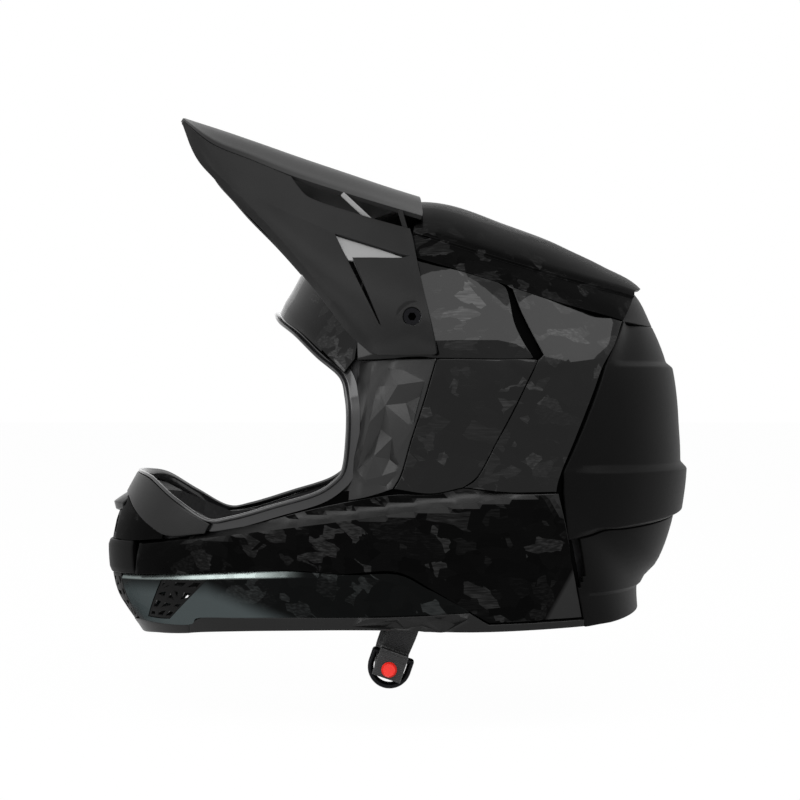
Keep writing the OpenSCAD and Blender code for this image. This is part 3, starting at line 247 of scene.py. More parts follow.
def knitFabric(name, dark, light):
    # brushed polyester knit over foam: a soft black pile, its rows drawn 1.6 mm apart so that they show
    material, tree, shader, inMm = newMaterial(name, Roughness=0.92, Sheen_Weight=0.35, Sheen_Roughness=0.45)
    rows = [addNode(tree, "ShaderNodeTexWave", {"Vector": inMm, "Scale": 0.196, "Distortion": 0.8, "Detail": 1.0},
                    bands_direction=axis).outputs["Fac"] for axis in ("X", "Z")]
    knit = addNode(tree, "ShaderNodeMath", tuple(rows), operation="MULTIPLY")
    fuzz = addNode(tree, "ShaderNodeTexNoise", {"Vector": inMm, "Scale": 0.5, "Detail": 4.0})
    both = addNode(tree, "ShaderNodeMath", (knit, fuzz))
    feed(tree, shader, {
        "Base Color": addNode(tree, "ShaderNodeValToRGB", (both,), [(0.3, dark), (1.0, light)]),
        "Normal": addNode(tree, "ShaderNodeBump", {"Height": both, "Strength": 0.45, "Distance": 0.0005})})
    return material


def wovenWebbing(name, dark, light):
    # polyester webbing woven with a rib along its length: read in the strap's own UV map, in mm
    material, tree, shader, inMm = newMaterial(name, Roughness=0.62, Sheen_Weight=0.25, Sheen_Roughness=0.4)
    run = addNode(tree, "ShaderNodeUVMap", uv_map="strapRun")
    ribs, picks = [addNode(tree, "ShaderNodeTexWave", {"Vector": run, "Scale": scale, "Distortion": bend},
                           bands_direction=way).outputs["Fac"]
                   for scale, bend, way in ((0.26, 0.0, "Y"), (0.33, 0.3, "DIAGONAL"))]
    weave = addNode(tree, "ShaderNodeMath", (ribs, picks), operation="MULTIPLY")
    feed(tree, shader, {
        "Base Color": addNode(tree, "ShaderNodeValToRGB", (weave,), [(0.0, dark), (0.8, light)]),
        "Normal": addNode(tree, "ShaderNodeBump", {"Height": weave, "Strength": 0.5, "Distance": 0.0003})})
    return material


def plainMetal(name, low, high, rough, grain, socket=None):
    # steel or alloy, turned or drawn, then blackened or left bright: fine lines and a clear highlight
    material, tree, shader, inMm = newMaterial(name, Metallic=1.0)
    lines = addNode(tree, "ShaderNodeTexNoise", {"Vector": inMm, "Scale": 1.0 / grain, "Detail": 3.0})
    colour = addNode(tree, "ShaderNodeValToRGB", (lines,), [(0.3, low), (0.7, high)])
    if socket:
        # painted shade: the six-sided socket is painted dark, seen along its own axis
        centred = addNode(tree, "ShaderNodeVectorMath", (inMm, (socket[0], 0, socket[1])), operation="SUBTRACT")
        far = 0.0
        for turn in (0.0, 60.0, 120.0):
            way = (math.sin(math.radians(turn)), 0, math.cos(math.radians(turn)))
            along = addNode(tree, "ShaderNodeVectorMath", (centred, way), operation="DOT_PRODUCT").outputs["Value"]
            reach = addNode(tree, "ShaderNodeMath", (along,), operation="ABSOLUTE")
            far = addNode(tree, "ShaderNodeMath", (far, reach), operation="MAXIMUM")
        within = addNode(tree, "ShaderNodeMath", (far, socket[2]), operation="LESS_THAN")
        colour = addNode(tree, "ShaderNodeMix", {0: within, 6: colour, 7: toLinear("#020202")},
                         data_type="RGBA").outputs[2]
    feed(tree, shader, {
        "Base Color": colour,
        "Roughness": addNode(tree, "ShaderNodeMapRange", {0: lines, 3: rough - 0.06, 4: rough + 0.1}),
        "Normal": addNode(tree, "ShaderNodeBump", {"Height": lines, "Strength": 0.12, "Distance": 0.0001})})
    return material


finishes = {
    # dark chips with clear lacquer, as on the shell's panels
    "carbon": forgedCarbon("forgedCarbonShell", "#0A0A0A #0D0D0D #141414 #1E1E1E #2E2E2E", (0.3, 0.4), 0.5, 1.4, 0.03),
    # matte lacquer on the roof and the jaw: nearly black, only the chips show; the thin lacquer is real, the darker
    # chips are painted shade, and the jaw gets painted light where it leans up
    "carbonLow": forgedCarbon("forgedCarbonMatteShaded", "#020202 #060606 #0F0F0F #1B1B1B #2A2A2A", (0.34, 0.46),
                              0.12, 1.3, 0.04, edge="#141414", paintedUpLight=True),
    # the chin's smooth panel has thicker lacquer; its grey towards the nose is a painted reflection of the studio, and
    # the silver line on its chamfer a painted highlight
    "carbonGloss": forgedCarbon("forgedCarbonGloss", "#020303 #050606 #101111 #1E2020 #2A2C2C", (0.24, 0.34), 0.2, 1.3,
                                0.05, paintedReflection=True),
    "trim": mouldedPlastic("mouldedTrimNylon", "#1A1A1A", "#202020", 0.34, 0.8, 0.3, shine=0.3),
    "lip": mouldedPlastic("mouldedLipNylon", "#0F0F0F", "#151515", 0.34, 0.8, 0.3, shine=0.2),
    "rear": mouldedPlastic("mouldedRearNylon", "#070707", "#0B0B0B", 0.46, 0.8, 0.3, shine=0.05),
    "visor": mouldedPlastic("mouldedVisorNylon", "#191919", "#202020", 0.42, 0.7, 0.3, shine=0.09),
    # the visor's nylon painted light grey, painted light for faces that catch the lamps: the pocket's face and the
    # front bar
    "pocket": mouldedPlastic("mouldedVisorNylonPaintedLight", "#828282", "#8C8C8C", 0.5, 0.7, 0.3),
    "mesh": mouldedPlastic("mouldedMeshNylon", "#0B0B0B", "#111111", 0.5, 0.9, 0.3, shine=0.08),
    "foam": beadFoam(),
    "pad": knitFabric("padKnit", "#0D0D0E", "#222223"),
    "binding": knitFabric("padBinding", "#161617", "#2C2C2E"),
    "webbing": wovenWebbing("strapWebbing", "#0A0A0B", "#1D1D1F"),
    "rubber": mouldedPlastic("beadRubber", "#1A1A1B", "#222223", 0.32, 0.6, 0.12, coat=0.8),
    # black sheets behind the seams and in the openings, painted shade so that the gaps read dark
    "paintedShade": mouldedPlastic("blackPaintedShade", "#020202", "#040404", 0.9, 0.6, 0.2, shine=0.02),
    "snap": mouldedPlastic("snapAcetal", "#19191A", "#222224", 0.4, 0.6, 0.2),
    "screw": plainMetal("screwSteel", "#141416", "#232325", 0.3, 0.4, socket=(-39.7, 47.0, 2.1)),
    "alloy": plainMetal("insertAlloy", "#8E8F91", "#A9AAAC", 0.3, 0.4),
    "rivet": plainMetal("rivetSteel", "#3A3A3C", "#505052", 0.32, 0.4),
    "ring": plainMetal("ringBlackSteel", "#121213", "#232325", 0.36, 0.5),
    "stud": mouldedPlastic("studRedEnamel", "#E8251B", "#F5352A", 0.34, 0.5, 0.15, coat=0.5),
}
print("materials made:", len(finishes))

# each finish's slot, and the CAD nodes that wear it; a star stands for the left and the right node
wears = {
    "carbon": ("forged_carbon", "forehead_shell side_shell* rear_side_shell* cheek_shell*"),
    "carbonLow": ("forged_carbon", "roof_shell jaw_shell* nose_shell*"),
    "carbonGloss": ("gray_gloss", "lower_chin*"),
    "trim": ("matte_trim", "cheek_trim* nose_trim chin_bumper"),
    "lip": ("matte_trim", "bottom_trim* front_trim"),
    "rear": ("matte_trim", "rear_shell rear_bridge neck_shell"),
    "mesh": ("matte_trim", "nose_vent side_grille* front_grille"),
    "visor": ("visor_plastic", "visor"),
    "pocket": ("visor_plastic", ""),
    "foam": ("hard_foam", "crown_liner chin_liner"),
    "pad": ("pad_fabric", "crown_pad* top_pad brow_pad temple_pad* neck_pad cheek_pad* chin_pad"),
    "binding": ("pad_fabric", ""),
    "webbing": ("webbing", "strap_left strap_right strap_tail"),
    "rubber": ("bead_rubber", "eye_bead"),
    "paintedShade": ("bead_rubber", ""),
    "snap": ("snap_plastic", "pad_snaps"),
    "screw": ("screw_steel", "visor_screw*"),
    "alloy": ("insert_alloy", "visor_insert*"),
    "rivet": ("rivet_steel", "strap_rivet*"),
    "ring": ("ring_black", "ring_outer ring_inner"),
    "stud": ("stud_red", "press_stud"),
}


def clothe(mesh, finish):
    mesh.materials.clear()
    mesh.materials.append(finishes[finish])
    mesh.polygons.foreach_set("material_index", [0] * len(mesh.polygons))


for finish, (slot, names) in wears.items():
    for name in names.split():
        for side in (("_left", "_right") if "*" in name else ("",)):
            clothe(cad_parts[name.replace("*", side)].data, finish)
print("CAD nodes dressed")

# the helmet's body: one closed form given by its outline in the middle plane and its half width, all in mm
body = {
    "outline": [(124, 0), (120.5, 24), (112, 48), (100, 69), (77.5, 82), (52.7, 94), (15.5, 108.5), (-35, 121.5),
                (-75, 110), (-104, 88), (-123, 59), (-168, 6), (-208, -43), (-223, -75), (-225, -95), (-221, -118),
                (-206, -141), (-178, -178), (-132, -226), (-67, -252), (0, -250), (58, -217), (95, -165), (100, -114),
                (111, -99), (119, -80), (124, -55), (125, -20)],
    "halfWidth": 121.0, "power": 2.1, "round": 2.2, "rounder": 0.8, "roundestAt": 203.0,
}
panel = {"gap": 0.3, "edge": 0.45, "wall": 2.4, "thickWall": 3.6}
outline = np.array(body["outline"], float)
turnOf = np.degrees(np.arctan2(outline[:, 1], outline[:, 0])) % 360
reachOf = np.hypot(outline[:, 0], outline[:, 1])
turnOf = np.concatenate([turnOf[-2:] - 360, turnOf, turnOf[:2] + 360])
reachOf = np.concatenate([reachOf[-2:], reachOf, reachOf[:2]])
slopeOf = np.zeros_like(turnOf)
slopeOf[1:-1] = (reachOf[2:] - reachOf[:-2]) / (turnOf[2:] - turnOf[:-2])


def unit(ways):
    return ways / np.linalg.norm(ways, axis=-1, keepdims=True)


def reachAt(turn):
    # how far the outline lies from the origin in each direction, on smooth curves through its points
    turn = np.mod(turn, 360)
    i = np.clip(np.searchsorted(turnOf, turn, side="right") - 1, 1, len(turnOf) - 3)
    span = turnOf[i + 1] - turnOf[i]
    t = (turn - turnOf[i]) / span
    return ((2 * t ** 3 - 3 * t ** 2 + 1) * reachOf[i] + (t ** 3 - 2 * t ** 2 + t) * span * slopeOf[i]
            + (3 * t ** 2 - 2 * t ** 3) * reachOf[i + 1] + (t ** 3 - t ** 2) * span * slopeOf[i + 1])


def sideShare(x, z):
    turn = np.degrees(np.arctan2(z, x))
    power = body["round"] - body["rounder"] * np.maximum(0, np.cos(np.radians(turn - body["roundestAt"]))) ** 2
    return np.hypot(x, z) / reachAt(turn), power


def bodyValue(p):
    # 1 on the body's surface, less inside
    reach, power = sideShare(p[..., 0], p[..., 2])
    return reach ** power + (np.abs(p[..., 1]) / body["halfWidth"]) ** body["power"]


def bodyGradient(p, step=0.5):
    sides = [bodyValue(p + step * axis) - bodyValue(p - step * axis) for axis in np.eye(3)]
    return np.stack(sides, axis=-1) / (2 * step)


def outward(p, lift):
    return p + unit(bodyGradient(p)) * np.asarray(lift)[..., None]


def settle(p):
    for _ in range(5):
        away = bodyGradient(p)
        p = p - away * ((bodyValue(p) - 1) / np.sum(away ** 2, axis=-1))[..., None]
    return p


def leftOf(xz, lift=0.0):
    # the left side's point over each (x, z)
    xz = np.asarray(xz, float)
    reach, power = sideShare(xz[..., 0], xz[..., 1])
    wide = -body["halfWidth"] * (1 - np.minimum(1, reach) ** power) ** (1 / body["power"])
    p = np.stack([xz[..., 0], wide, xz[..., 1]], axis=-1)
    return outward(p, np.broadcast_to(lift, p.shape[:-1]))


def evenly(run, count=None, step=None):
    # places at even distances along a run
    length = np.concatenate([[0], np.cumsum(np.linalg.norm(np.diff(run, axis=0), axis=1))])
    even = np.linspace(0, length[-1], count or max(2, int(np.ceil(length[-1] / step)) + 1))
    return np.stack([np.interp(even, length, run[:, i]) for i in range(run.shape[1])], axis=-1)


def smoothLine(points, step=3.0):
    # an even run of points on a smooth curve through the given ones, in any number of dimensions
    points = np.array(points, float)
    if len(points) == 2:
        count = max(2, int(np.ceil(np.linalg.norm(points[1] - points[0]) / step)) + 1)
        return points[0] + (points[1] - points[0]) * np.linspace(0, 1, count)[:, None]
    ends = np.vstack([2 * points[0] - points[1], points, 2 * points[-1] - points[-2]])
    run, t = [], np.linspace(0, 1, 24, endpoint=False)[:, None]
    for a, b, c, d in zip(ends[:-3], ends[1:-2], ends[2:-1], ends[3:]):
        # centripetal spacing keeps corners from overshooting
        ta, tb, tc = (max(1e-6, np.linalg.norm(q - p) ** 0.5) for p, q in ((a, b), (b, c), (c, d)))
        mb = ((b - a) / ta - (c - a) / (ta + tb) + (c - b) / tb) * tb
        mc = ((c - b) / tb - (d - b) / (tb + tc) + (d - c) / tc) * tb
        run.append((2 * t ** 3 - 3 * t ** 2 + 1) * b + (t ** 3 - 2 * t ** 2 + t) * mb
                   + (3 * t ** 2 - 2 * t ** 3) * c + (t ** 3 - t ** 2) * mc)
    return evenly(np.vstack(run + [points[-1:]]), step=step)


def resample(points, count):
    return evenly(smoothLine(points, 0.8), count)


def joined(*runs):
    # runs end to end as one loop, each shared end once; a list is smoothed, an array is taken as it is
    loop = []
    for run in runs:
        for point in smoothLine(run) if isinstance(run, list) else run:
            if not loop or np.linalg.norm(np.subtract(point, loop[-1])) > 0.25:
                loop.append(np.array(point, float))
    if np.linalg.norm(loop[0] - loop[-1]) < 0.4:
        loop.pop()
    loop = np.array(loop)
    ahead = np.roll(loop, -1, axis=0)
    area = np.sum(loop[:, 0] * ahead[:, 1] - ahead[:, 0] * loop[:, 1])
    return loop if area > 0 else loop[::-1]


def insetLoop(loop, amount):
    # each corner moves in along its two sides' normals, held back at sharp corners
    normals = []
    for edge in (loop - np.roll(loop, 1, axis=0), np.roll(loop, -1, axis=0) - loop):
        edge = unit(edge)
        normals.append(np.stack([-edge[:, 1], edge[:, 0]], axis=-1))
    middle = normals[0] + normals[1]
    middle /= np.maximum(0.3, np.linalg.norm(middle, axis=1, keepdims=True))
    return loop + middle * amount / np.maximum(0.5, np.sum(middle * normals[0], axis=1, keepdims=True))


def insideLoop(points, loop):
    x, z = points[:, 0][:, None], points[:, 1][:, None]
    x1, z1 = loop[:, 0][None], loop[:, 1][None]
    x2, z2 = np.roll(x1, -1, axis=1), np.roll(z1, -1, axis=1)
    crosses = ((z1 > z) != (z2 > z)) & (x < (x2 - x1) * (z - z1) / np.where(z2 == z1, 1e-9, z2 - z1) + x1)
    return crosses.sum(axis=1) % 2 == 1


def distanceTo(points, line, closed=True):
    best = np.full(len(points), 1e9)
    for start, end in zip(line if closed else line[:-1], np.roll(line, -1, axis=0)):
        run = end - start
        t = np.clip((points - start) @ run / max(1e-9, run @ run), 0, 1)
        best = np.minimum(best, np.linalg.norm(points - start - t[:, None] * run, axis=1))
    return best


def weighNormals(piece):
    piece.modifiers.new("normals", "WEIGHTED_NORMAL").keep_sharp = True


def softenEdges(width, angle=40.0):
    # a small bevel and weighted normals, so every edge catches a thin light line
    def add(piece):
        bevel = piece.modifiers.new("edge", "BEVEL")
        bevel.width, bevel.segments, bevel.limit_method = width, 2, "ANGLE"
        bevel.angle_limit = math.radians(angle)
        weighNormals(piece)
    return add


def turnOut(piece, cuts=0):
    # the faces point outwards, with more of them on request
    bm = bmesh.new()
    bm.from_mesh(piece.data)
    bmesh.ops.recalc_face_normals(bm, faces=bm.faces)
    if cuts:
        bmesh.ops.subdivide_edges(bm, edges=bm.edges, cuts=cuts, use_grid_fill=True)
    bm.to_mesh(piece.data)
    bm.free()


def makePiece(name, points, faces, finish, riding="helmet", nodes=(), sharp=(), extras=()):
    # points in mm become a finished object in metres that rides on its body and stands for its nodes
    mesh = bpy.data.meshes.new(name)
    mesh.from_pydata((np.asarray(points, float) * 0.001).tolist(), [], [tuple(map(int, face)) for face in faces])
    mesh.materials.append(finishes[finish])
    mesh.polygons.foreach_set("use_smooth", [True] * len(mesh.polygons))
    if len(sharp):
        wanted = {tuple(sorted(map(int, edge))) for edge in sharp}
        mesh.edges.foreach_set("use_edge_sharp", [tuple(sorted(edge.vertices)) in wanted for edge in mesh.edges])
    mesh.update()
    piece = addObject(name, mesh)
    for extra in extras:
        extra(piece)
    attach(piece, riding)
    if nodes:
        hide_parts(*nodes)
    return piece


def makePair(name, points, faces, finish, riding="helmet", nodes=None, ending="_dressed", **more):
    # the left piece and its mirror image
    for side in ("_left", "_right"):
        if side == "_right":
            points, faces = points * [1, -1, 1], [face[::-1] for face in faces]
        stoodFor = [name + side] if nodes is None else nodes
        makePiece(name + side + ending, points, faces, finish, riding, stoodFor, **more)


def cornerFold(start, end, slope, towards, most=7.0):
    # a crease along a line: past it, on the side of `towards`, the surface leans by slope, for `most` mm
    line = np.array([start, end], float)
    run = (line[1] - line[0]) / np.linalg.norm(line[1] - line[0])
    side = np.array([-run[1], run[0]])
    if side @ (np.array(towards, float) - line[0]) < 0:
        side = -side
    return {"line": line, "side": side, "slope": slope, "most": most}


def foldLift(xz, folds):
    lift = np.zeros(xz.shape[:-1])
    for fold in folds:
        lift = lift + fold["slope"] * np.clip((xz - fold["line"][0]) @ fold["side"], 0, fold["most"])
    return lift


def panelMesh(loop, holes, folds, lift, wall, spacing=3.0, gap=panel["gap"], place=leftOf):
    # a closed thin panel over the side of the body: triangles inside its outline, cut along its creases
    soft = panel["edge"]
    edges = [insetLoop(loop, gap + soft)] + [insetLoop(hole, -(gap + soft)) for hole in holes]

    def within(spots):
        kept = insideLoop(spots, edges[0])
        for cut in edges[1:]:
            kept &= ~insideLoop(spots, cut)
        return kept

    def clearOf(spots, least):
        return np.all([distanceTo(spots, edge) > least for edge in edges], axis=0)

    low, high = edges[0].min(axis=0), edges[0].max(axis=0)
    rows = []
    for i, z in enumerate(np.arange(low[1], high[1], spacing * 0.87)):
        x = np.arange(low[0] + (i % 2) * spacing / 2, high[0], spacing)
        rows.append(np.stack([x, np.full_like(x, z)], axis=-1))
    fill = np.vstack(rows)
    fill = fill[within(fill) & clearOf(fill, spacing * 0.45)]
    flat, ties, foldTies = [tuple(p) for edge in edges for p in edge], [], []
    for edge in edges:
        first = len(ties)
        ties += [(first + i, first + (i + 1) % len(edge)) for i in range(len(edge))]
    for fold in folds:
        line = smoothLine(fold["line"], spacing * 0.8)
        kept = within(line) & clearOf(line, 0.5)
        fill = fill[distanceTo(fill, line, closed=False) > spacing * 0.4]
        for i in np.flatnonzero(kept[:-1] & kept[1:]):
            foldTies.append((len(flat), len(flat) + 1))
            flat += [tuple(line[i]), tuple(line[i + 1])]
    found = delaunay_2d_cdt([Vector(p) for p in flat + [tuple(p) for p in fill]], ties + foldTies, [], 1, 1e-4)
    spots = np.array([tuple(v) for v in found[0]])
    faces = np.array([f for f in found[2] if len(f) == 3])
    a, b, c = spots[faces[:, 0]], spots[faces[:, 1]], spots[faces[:, 2]]
    area = (b[:, 0] - a[:, 0]) * (c[:, 1] - a[:, 1]) - (b[:, 1] - a[:, 1]) * (c[:, 0] - a[:, 0])
    faces[area < 0] = faces[area < 0][:, ::-1]
    faces = faces[within(spots[faces].mean(axis=1)) & (np.abs(area) > 1e-5)]
    newOf = {old: new for new, olds in enumerate(found[3]) for old in olds}
    creased = {tuple(sorted((newOf[p], newOf[q]))) for p, q in foldTies if p in newOf and q in newOf}
    used = np.unique(faces)
    number = {old: new for new, old in enumerate(used)}
    faces = [tuple(number[v] for v in face) for face in faces]
    creased = [(number[p], number[q]) for p, q in creased if p in number and q in number]
    spots = spots[used]
    # sides that only one triangle has are the rims: the outline and the holes
    sides = {}
    for face in faces:
        for p, q in zip(face, face[1:] + face[:1]):
            if not sides.pop((q, p), False):
                sides[(p, q)] = True
    follows = dict(sides.keys())
    rims, seen = [], set()
    for p in follows:
        ring = []
        while p not in seen and p in follows:
            seen.add(p)
            ring.append(p)
            p = follows[p]
        if ring:
            rims.append(ring)
    points = [place(spots, lift(spots)), place(spots, lift(spots) - wall)]
    count, total = len(spots), 2 * len(spots)
    solid = faces + [tuple(v + count for v in reversed(face)) for face in faces]
    hard = creased + [(p + count, q + count) for p, q in creased]
    for ring in rims:
        # each rim is rounded outwards, then goes down to the inner face
        here = spots[ring]
        rounds = [np.array(ring)]
        for away, depth in ((soft * 0.7, soft * 0.3), (soft, soft), (soft, wall)):
            rounds.append(np.arange(total, total + len(ring)))
            points.append(place(insetLoop(here, -away), lift(here) - depth))
            total += len(ring)
        rounds.append(rounds[0] + count)
        ahead = [np.roll(numbers, -1) for numbers in rounds]
        for j in range(4):
            solid += zip(ahead[j], rounds[j], rounds[j + 1], ahead[j + 1])
        for j in (2, 3, 4):
            hard += zip(rounds[j], ahead[j])
    return np.vstack(points), solid, hard


def pairOf(name, finish, loop, holes=(), folds=(), creases=(), lift=lambda xz: 0.0, wall=panel["wall"], **more):
    # a side panel with its folds and creases, and its mirror image
    points, faces, hard = panelMesh(loop, holes, [*folds, *creases], lambda xz: foldLift(xz, folds) + lift(xz), wall,
                                    **more)
    makePair(name, points, faces, finish, sharp=hard, extras=[weighNormals])
    print("made", name, len(faces))


def crystalOf(corners):
    # flat facets between corners (x, z, height): their creases, and the height at any place
    corners = np.array(corners, float)
    found = delaunay_2d_cdt([Vector(c[:2]) for c in corners], [], [], 0, 1e-4)
    facets = [f for f in found[2] if len(f) == 3]
    sides = {tuple(sorted((f[i], f[i - 1]))) for f in facets for i in range(3)}

    def height(xz):
        total = np.zeros(len(xz))
        for facet in facets:
            x, z, rise = corners[list(facet)].T
            shares = np.linalg.solve(np.array([x, z, np.ones(3)]), np.vstack([xz.T, np.ones(len(xz))]))
            within = (shares > -1e-4).all(axis=0)
            total[within] = (shares.T @ rise)[within]
        return total
    return [{"line": corners[list(pair), :2]} for pair in sorted(sides)], height


def cutFlat(three):
    # places spots on the body, cut flat where the plane through three places on it lies inside
    p = leftOf(three)
    a, b, c = np.linalg.solve(np.stack([np.ones(3), p[:, 0], p[:, 2]], axis=-1), 0.5 - p[:, 1])

    def place(spots, lifts):
        p = leftOf(spots, lifts)
        p[:, 1] = -np.minimum(-p[:, 1], a + b * p[:, 0] + c * p[:, 2] + lifts * 1.12)
        return p
    return place


def circleLoop(centre, radius, count=32):
    turn = np.linspace(0, 2 * np.pi, count, endpoint=False)
    return np.stack([centre[0] + radius * np.cos(turn), centre[1] + radius * np.sin(turn)], axis=-1)


# the seams that neighbouring panels share, as (x, z) seen from the side
seams = {
    "band": [(-37, 81.7), (-13, 74.3), (11.2, 66.8), (44.9, 56), (83, 46)],
    "groove": [(31, 22.5), (20.2, 0), (8.4, -22.4), (-3.9, -44.3), (-11, -49.5)],
    "cheekSeam": [(-26, 23.5), (-33, 0), (-40.3, -22.5), (-46.5, -43.4), (-50.6, -50.5)],
    "eyeRim": [(-75, 23.5), (-75, 6), (-74, -14), (-77.7, -41.4), (-82.3, -48.3), (-92, -54.5), (-118, -62.4),
               (-145, -70.2), (-158, -72.0)],
    "jawTop": [(-205, -83.6), (-187, -82), (-161, -77.7), (-134, -72.2), (-107, -65), (-80.6, -58.6), (-50.6, -53.5),
               (-29, -53.1), (-11, -49.5)],
    "rearTop": [(83, 46), (77.5, 32), (71.7, 22.3), (64, 3), (53.4, -22.6), (44.4, -44.5), (42.9, -52.5)],
    "rearLow": [(42.9, -52.5), (47.2, -70.5), (48.9, -78), (56.2, -112), (59, -125.5)],
    "jawLow": [(-205, -104.4), (-184, -103), (-158, -101.3), (-132, -99.4), (-106, -98.4), (-80, -99.6), (-48, -98),
               (-30, -107), (-13, -117), (4, -127)],
    "lipTop": [(-172, -133.6), (-165, -128.6), (-135, -126.8), (-110, -125.4), (-80, -124.4), (-48, -123),
               (-7, -120.7)],
    "lensTop": [(9.5, 67.3), (14.0, 64.5), (16.2, 56.7), (18.4, 44.0), (23.0, 33.5), (29.0, 24.0)],
    "bladeLine": [(17.0, 64.8), (20.5, 54.0), (25.7, 42.1), (34.0, 25.5)],
}
seam = {name: smoothLine(points) for name, points in seams.items()}
backwards = {name: points[::-1] for name, points in seam.items()}

# the side shell behind the visor's wing: a plateau over a crease, a hole for the visor's insert
sideShell = {"hole": (-39.7, 47), "radius": 6.3, "tuck": -1.5, "tuckFrom": -14, "raised": 0.2, "slope": 0.27,
             "most": 11,
             "crease": np.array([(-72.0, 33.8), (8.6, 33.7), (18.8, 31.5), (28.2, 25.9)])}


def sideLift(xz):
    # tucked under the wing, and leaning in under the plateau
    below = np.interp(xz[:, 0], *sideShell["crease"].T) - xz[:, 1]
    return (sideShell["tuck"] * np.clip((sideShell["tuckFrom"] - xz[:, 0]) / 12, 0, 1) + sideShell["raised"]
            - sideShell["slope"] * np.clip(below, 0, sideShell["most"]))


pairOf("side_shell", "carbon", joined(
    [(-68, 91), (-37, 81.7), (-13, 74.3), (9.5, 67.5)], seam["lensTop"], [(29.0, 24.0), (27.5, 23.0)],
    [(27.5, 23.0), (0, 23.2), (-26, 23.5), (-73, 23.5)], [(-73, 23.5), (-72, 36), (-70, 62), (-68, 91)]),
    [circleLoop(sideShell["hole"], sideShell["radius"])],
    creases=[{"line": sideShell["crease"][i:i + 2]} for i in range(3)], lift=sideLift,
    place=cutFlat([(-38, 34), (22, 33), (-12, 74)]))

# the rear side shell: its plateau ends low, then falls to the jaw and to the seam with the back
pairOf("rear_side_shell", "carbon", joined(
    [(15.5, 65.3), (37, 58.3), (60, 51.8), (83, 46)], seam["rearTop"], [(42.9, -52.5), (16, -52.5), (-11, -49.5)],
    backwards["groove"], [(31, 22.5), (34.0, 25.5)], backwards["bladeLine"]),
    folds=[cornerFold((33.7, 19.1), (70.9, 24.3), -0.16, (50, 0)),
           cornerFold((47.0, 22.0), (18.0, -53.0), -0.1, (60, -30))],
    lift=lambda xz: 0.4, place=cutFlat([(22, 58), (76, 37), (44, 21.5)]))

# the cheek shell, with a lighter facet under the vent
pairOf("cheek_shell", "carbon", joined(
    [(-26, 23.5), (0, 23.2), (27.5, 23.0), (31, 22.5)], seam["groove"], [(-11, -49.5), (-29, -53.1), (-50.6, -50.5)],
    backwards["cheekSeam"]),
    folds=[cornerFold((11.5, 22.1), (24.5, 9.0), 0.16, (30, 24)),
           cornerFold((-30.0, 10.0), (13.0, -14.0), -0.07, (-20, -30))])

# the jaw: a lighter strip above its long highlight line, leaning up and lightened further by painted light in its
# finish, a deep face under it
pairOf("jaw_shell", "carbonLow", joined(
    seam["jawTop"], [(-11, -49.5), (16, -52.5), (42.9, -52.5)], seam["rearLow"], [(59, -125.5), (4, -127)],
    backwards["jawLow"], np.array([(-205, -104.4), (-205, -83.6)])),
    folds=[cornerFold((-206.3, -86.8), (-80.6, -69.2), -0.55, (-100, -60), 4.5),
           cornerFold((-80.6, -69.2), (22.3, -53.4), -0.5, (0, -40), 4.5),
           cornerFold((-52.0, -90.0), (43.0, -81.2), -0.1, (0, -110), 6),
           cornerFold((-80.0, -99.6), (43.0, -72.0), -0.05, (0, -120), 6),
           cornerFold((46.0, -90.0), (30.0, -128.0), -0.22, (58, -120), 5)],
    lift=lambda xz: 1.0)

# the matte trim round the eye opening and along the chin bar, with its crystal relief
trimCreases, trimHeight = crystalOf([
    (-53.8, 18.0, 0), (-59.6, 7.4, 0.6), (-44.9, 16.9, 0), (-47.2, 8.5, 1.3), (-43.6, -1.5, -0.9), (-32.7, 10.6, 0.2),
    (-58.0, -16.3, -1.2), (-50.7, -21.6, 1.2), (-39.3, -15.8, 0.3), (-37.5, -7.9, 1.2), (-63.3, -12.6, 1.0),
    (-64.4, -30.0, -0.9), (-61.0, -31.6, 0.9), (-52.8, -33.7, -1.0), (-66.0, -45.3, 0.8), (-56.3, -42.7, 1.2),
    (-54.9, -49.0, -0.6), (-45.9, -39.0, 0.2), (-71.2, -40.0, 0.3), (-35.4, 2.1, -0.6), (-54.4, -3.1, 0.8),
    (-49.1, -30.6, 1.3)])
pairOf("cheek_trim", "trim", joined(
    seam["eyeRim"], [(-158, -72.0), (-161, -77.7)],
    [(-161, -77.7), (-134, -72.2), (-100, -63.4), (-62, -54.4), (-50.6, -50.5)], backwards["cheekSeam"],
    [(-26, 23.5), (-73, 23.5), (-75, 23.5)]),
    folds=[cornerFold((-64.1, 25.1), (-67.0, -18.0), -0.5, (-80, 0), 11),
           cornerFold((-67.0, -18.0), (-77.7, -43.1), -0.35, (-90, -10), 11)],
    creases=trimCreases, spacing=2.4, lift=lambda xz: 1.7 * trimHeight(xz) - 0.4)

# the bottom lip, thicker, with the same relief
lipCreases, lipHeight = crystalOf([
    (-74.4, -129.7, 0), (-64.9, -124.4, 1.1), (-55.4, -129.9, -0.8), (-47.5, -123.2, 1.2), (-44.3, -130.6, -0.6),
    (-31.1, -122.1, 1.2), (-34.3, -128.7, -0.8), (-17.4, -121.8, 0), (-7.4, -123.6, 1.0), (-15.3, -127.8, -0.7),
    (-21.6, -132.0, 0.8), (-30.1, -125.5, 1.0), (-60.7, -126.6, 0.8), (-49.1, -126.6, -0.6), (-23.8, -125.0, -0.9)])
pairOf("bottom_trim", "lip", joined(
    seam["lipTop"], [(-7, -120.7), (4, -127.5)], [(4, -127.5), (59.8, -125.9)],
    np.array([(59.8, -125.9), (59.8, -130.6)]),
    [(59.8, -130.6), (6, -132.4), (-12, -132.6), (-48, -132), (-80, -132.6), (-110, -134), (-135, -135.5), (-165, -138),
     (-172, -139)], np.array([(-172, -139), (-172, -133.6)])),
    wall=panel["thickWall"], spacing=2.0, creases=lipCreases, lift=lambda xz: 1.5 * lipHeight(xz))
print("side panels made")


